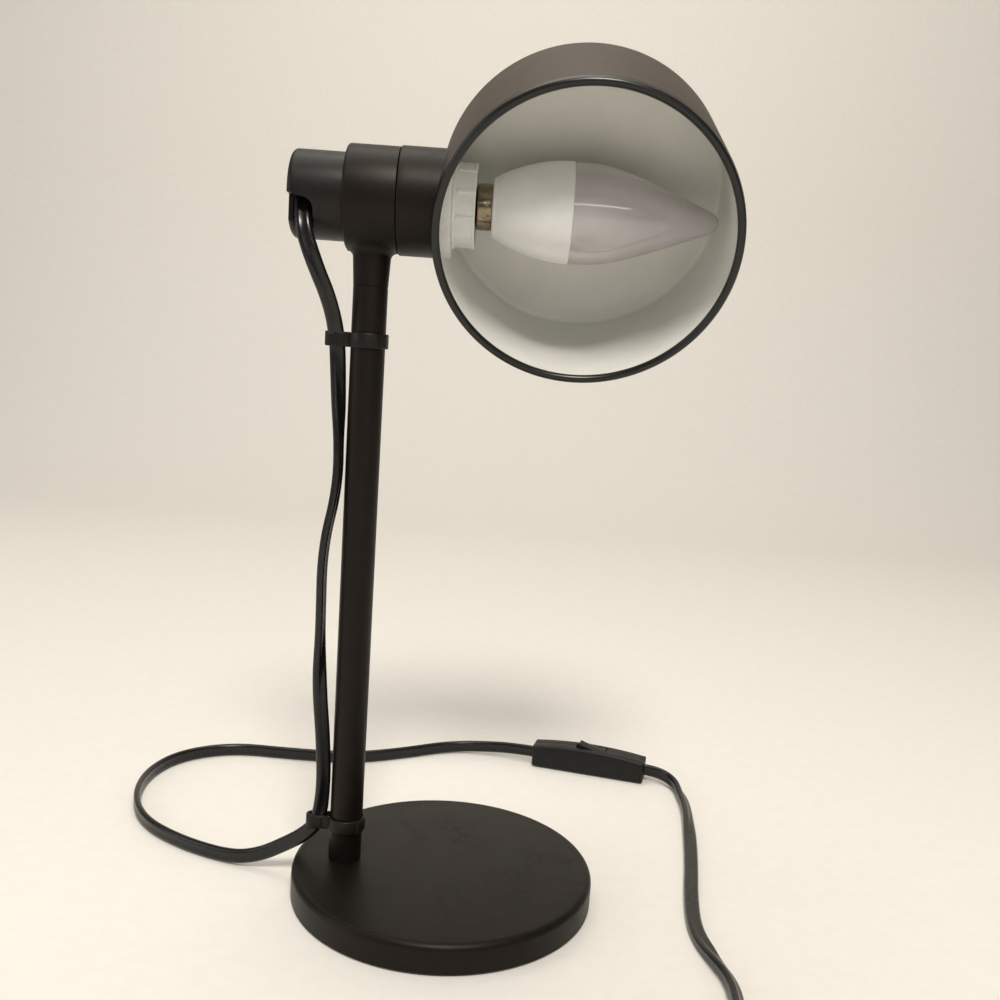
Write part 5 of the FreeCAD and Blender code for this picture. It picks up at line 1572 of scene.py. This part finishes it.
# ---------------------------------------------------------------------------------------------------------------
# Mains plug
# ---------------------------------------------------------------------------------------------------------------
@dataclass
class MainsPlug:
    """A plain two-blade plug with a tapered strain relief."""

    shoulder: float = 11.0 * MM
    edge: float = 1.3 * MM
    blade_hole: float = 1.6 * MM

    def build(self) -> list[bpy.types.Object]:
        """Builds the plug and returns its pieces."""
        return [self.moulding(), self.relief(), *self.blades()]

    def moulding(self) -> bpy.types.Object:
        """The body: a plan that narrows toward the cord, with rounded edges.

        Returns:
            The body.
        """
        low, high = span("plug_body")
        middle, half = (low[1] + high[1]) / 2, (high[1] - low[1]) / 2
        bend = high[0] - self.shoulder
        outline = rounded([(low[0], middle - half, 1.6 * MM), (bend, middle - half, 4 * MM),
                           (high[0], middle - 5 * MM, 1.5 * MM), (high[0], middle + 5 * MM, 1.5 * MM),
                           (bend, middle + half, 4 * MM), (low[0], middle + half, 1.6 * MM)], steps=8)
        made = SHOP.slab("plug_moulding", outline, lying, low[2], high[2], (self.edge, self.edge), PLUG_BLACK,
                         Body.STAND)
        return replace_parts(made, "plug_body")

    def relief(self) -> bpy.types.Object:
        """The strain relief: a taper toward the cord, cut by rings.

        Returns:
            The strain relief.
        """
        low, high = span("plug_strain_relief")
        start, end = low[0], high[0]
        wide, narrow, core = 4.6 * MM, 3.4 * MM, 2.9 * MM
        along = np.linspace(start, end, 97)
        taper = wide + (narrow - wide) * (along - start) / (end - start)
        ring = ((along - start - 4 * MM) % (3.6 * MM) < 1.4 * MM) & (along > start + 4 * MM) & (
            along < start + 21 * MM)
        radius = np.where(ring, core, taper)
        profile = np.concatenate([[(0.0, 0.0)], np.stack([along - start, radius], axis=1), [(end - start, 0.0)]])
        axis = Axis((start, (low[1] + high[1]) / 2, (low[2] + high[2]) / 2), (1.0, 0.0, 0.0), (0.0, 0.0, 1.0))
        made = SHOP.turned("plug_relief", axis, profile, PLUG_BLACK, Body.STAND, 64, closed=False)
        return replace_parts(made, "plug_strain_relief")

    def blades(self) -> list[bpy.types.Object]:
        """Two flat blades with a hole and a tapered tip each.

        Returns:
            The two blades.
        """
        low, high = span("plug_blades")
        middle, rise = (low[2] + high[2]) / 2, (high[2] - low[2]) / 2
        made = []
        for name, near, far in (("blade_near", low[1], low[1] + 1.5 * MM), ("blade_far", high[1] - 1.5 * MM, high[1])):
            outline = rounded([(low[0], middle - 0.55 * rise, 0.3 * MM), (low[0] + 1.8 * MM, middle - rise, 0.6 * MM),
                               (high[0] + 0.5 * MM, middle - rise, 0), (high[0] + 0.5 * MM, middle + rise, 0),
                               (low[0] + 1.8 * MM, middle + rise, 0.6 * MM),
                               (low[0], middle + 0.55 * rise, 0.3 * MM)], steps=3)
            blade = SHOP.slab(name, outline, upright, near, far, (0.15 * MM, 0.15 * MM), BRASS, Body.STAND)
            hole = SHOP.slab("hole_cutter", arc((low[0] + 4 * MM, middle), self.blade_hole, 0, 345, 23), upright,
                             near - MM, far + MM, (0.0, 0.0), BRASS, Body.STAND)
            SHOP.carve(blade, hole)
            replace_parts(blade, "plug_blades")
            made.append(blade)
        return made


# ---------------------------------------------------------------------------------------------------------------
# Studio
# ---------------------------------------------------------------------------------------------------------------
@dataclass(frozen=True)
class Lamp:
    """A soft area light: where it stands, its size, power and colour, and what it points at."""

    name: str
    position: tuple[float, float, float]
    size: tuple[float, float]
    power: float
    tint: Colour
    target: tuple[float, float, float] = (0.0, 0.0, 0.15)

    def build(self) -> None:
        """Adds the light to the scene, round where its two sizes are the same."""
        data = bpy.data.lights.new(self.name, "AREA")
        data.shape = "ELLIPSE" if self.size[0] == self.size[1] else "RECTANGLE"
        data.size, data.size_y, data.energy, data.color = *self.size, self.power, self.tint
        made = bpy.data.objects.new(self.name, data)
        aim = Vector(self.target) - Vector(self.position)
        made.matrix_world = Matrix.Translation(self.position) @ aim.to_track_quat("-Z", "Y").to_matrix().to_4x4()
        bpy.context.scene.collection.objects.link(made)


LAMPS = (
    Lamp("key", (0.12, -1.0, 1.45), (0.45, 0.45), 21.5, (1.0, 0.95, 0.87)),
    Lamp("overhead", (-0.2, 0.2, 1.5), (1.2, 1.2), 7.0, (1.0, 0.95, 0.88)),
    Lamp("left", (-1.3, -0.4, 0.6), (0.9, 0.9), 3.5, (0.94, 0.97, 1.0)),
    Lamp("backdrop", (0.1, 0.45, 1.5), (1.0, 1.0), 4.0, (1.0, 0.95, 0.87), target=(0.1, 1.4, 0.6)),
    Lamp("strip", (0.42, -1.2, 0.59), (1.1, 0.022), 1.3, (1.0, 0.98, 0.96)),
)


@dataclass
class Studio:
    """The camera, soft lights and the pale table and wall."""

    position: tuple[float, float, float] = (0.01058, -0.39895, 0.21990)
    heading: float = math.radians(1.032)
    down: float = math.radians(9.205)
    roll: float = math.radians(3.98)
    lens: float = 37.24
    shift: tuple[float, float] = (-0.0097, 0.0227)
    ambient: float = 0.23
    paleness: float = 0.72

    def build(self) -> None:
        """Sets up the camera, lights, world and stage."""
        self.camera()
        for lamp in LAMPS:
            lamp.build()
        self.world()
        self.stage()
        bpy.context.scene.view_settings.view_transform = "Standard"

    def camera(self) -> None:
        """A camera a little above the base's middle, looking along +Y, slightly down and rolled."""
        ahead = Vector((math.sin(self.heading) * math.cos(self.down), math.cos(self.heading) * math.cos(self.down),
                        -math.sin(self.down)))
        level = Vector((math.cos(self.heading), -math.sin(self.heading), 0.0))
        upright = level.cross(ahead)
        right = level * math.cos(self.roll) + upright * math.sin(self.roll)
        up = upright * math.cos(self.roll) - level * math.sin(self.roll)
        turn = Matrix((right, up, -ahead)).transposed().to_4x4()
        data = bpy.data.cameras.new("view")
        data.sensor_width = 36.0
        data.lens = self.lens
        data.shift_x, data.shift_y = self.shift
        data.clip_start = 0.01
        made = bpy.data.objects.new("view", data)
        made.matrix_world = Matrix.Translation(self.position) @ turn
        bpy.context.scene.collection.objects.link(made)
        bpy.context.scene.camera = made

    def world(self) -> None:
        """An even warm room light, and a brighter background where the camera looks past the stage."""
        world = bpy.data.worlds.new("room")
        world.use_nodes = True
        world.node_tree.nodes["Background"].inputs["Color"].default_value = (0.93, 0.90, 0.86, 1.0)
        path = world.node_tree.nodes.new("ShaderNodeLightPath")
        seen = world.node_tree.nodes.new("ShaderNodeMapRange")
        seen.inputs["To Min"].default_value = self.ambient
        seen.inputs["To Max"].default_value = self.paleness
        world.node_tree.links.new(path.outputs["Is Camera Ray"], seen.inputs["Value"])
        world.node_tree.links.new(seen.outputs["Result"], world.node_tree.nodes["Background"].inputs["Strength"])
        bpy.context.scene.world = world

    def stage(self) -> None:
        """A pale sweep: a flat floor that bends up into a wall behind the lamp."""
        front, wall, turn, top, side, drop = -2.5, 1.4, 0.5, 3.0, 3.0, 0.2 * MM
        bend = np.radians(np.linspace(0, 90, 12))
        depth = np.concatenate([[front], wall - turn + turn * np.sin(bend), [wall]])
        height = np.concatenate([[0.0], turn - turn * np.cos(bend), [top]])
        x = np.repeat(np.array([[-side, side]]), len(depth), axis=0)
        points = np.stack([x, np.repeat(depth[:, None], 2, axis=1), np.repeat(height[:, None], 2, axis=1) - drop],
                          axis=-1).reshape(-1, 3)
        mesh = bpy.data.meshes.new("sweep")
        mesh.from_pydata(points.tolist(), [], grid_faces(len(depth), 2, False, False).tolist())
        mesh.polygons.foreach_set("use_smooth", np.ones(len(mesh.polygons), bool))
        paper = Finish("studio_paper", (0.80, 0.77, 0.72), 0.7, tone=0.01, marks=0.02, grain_depth=0.0)
        mesh.materials.append(paper.material())
        made = bpy.data.objects.new("sweep", mesh)
        bpy.context.scene.collection.objects.link(made)


def dress_nodes() -> None:
    """Gives each CAD node that stays its finish."""
    for finish, nodes in NODE_FINISHES.items():
        for name in nodes:
            mesh = frame["nodes"][name].data
            mesh.materials.clear()
            mesh.materials.append(finish.material())


def main() -> None:
    """Builds the studio and every sub-assembly in order."""
    logging.basicConfig(level=logging.INFO, format="%(name)s: %(message)s")
    Studio().build()
    cord = Cord()
    cord.build()
    dress_nodes()
    barrel = Barrel()
    for part in (Stand(), barrel, Shade(barrel), Bulb(barrel), Clips()):
        part.build()
        log.info("built %s", type(part).__name__)
    switch_pieces = Switch().build()
    plug_pieces = MainsPlug().build()
    cord.declare(switch_pieces, [*plug_pieces, frame["nodes"]["cord_tie"]])


if __name__ == "__main__":
    main()
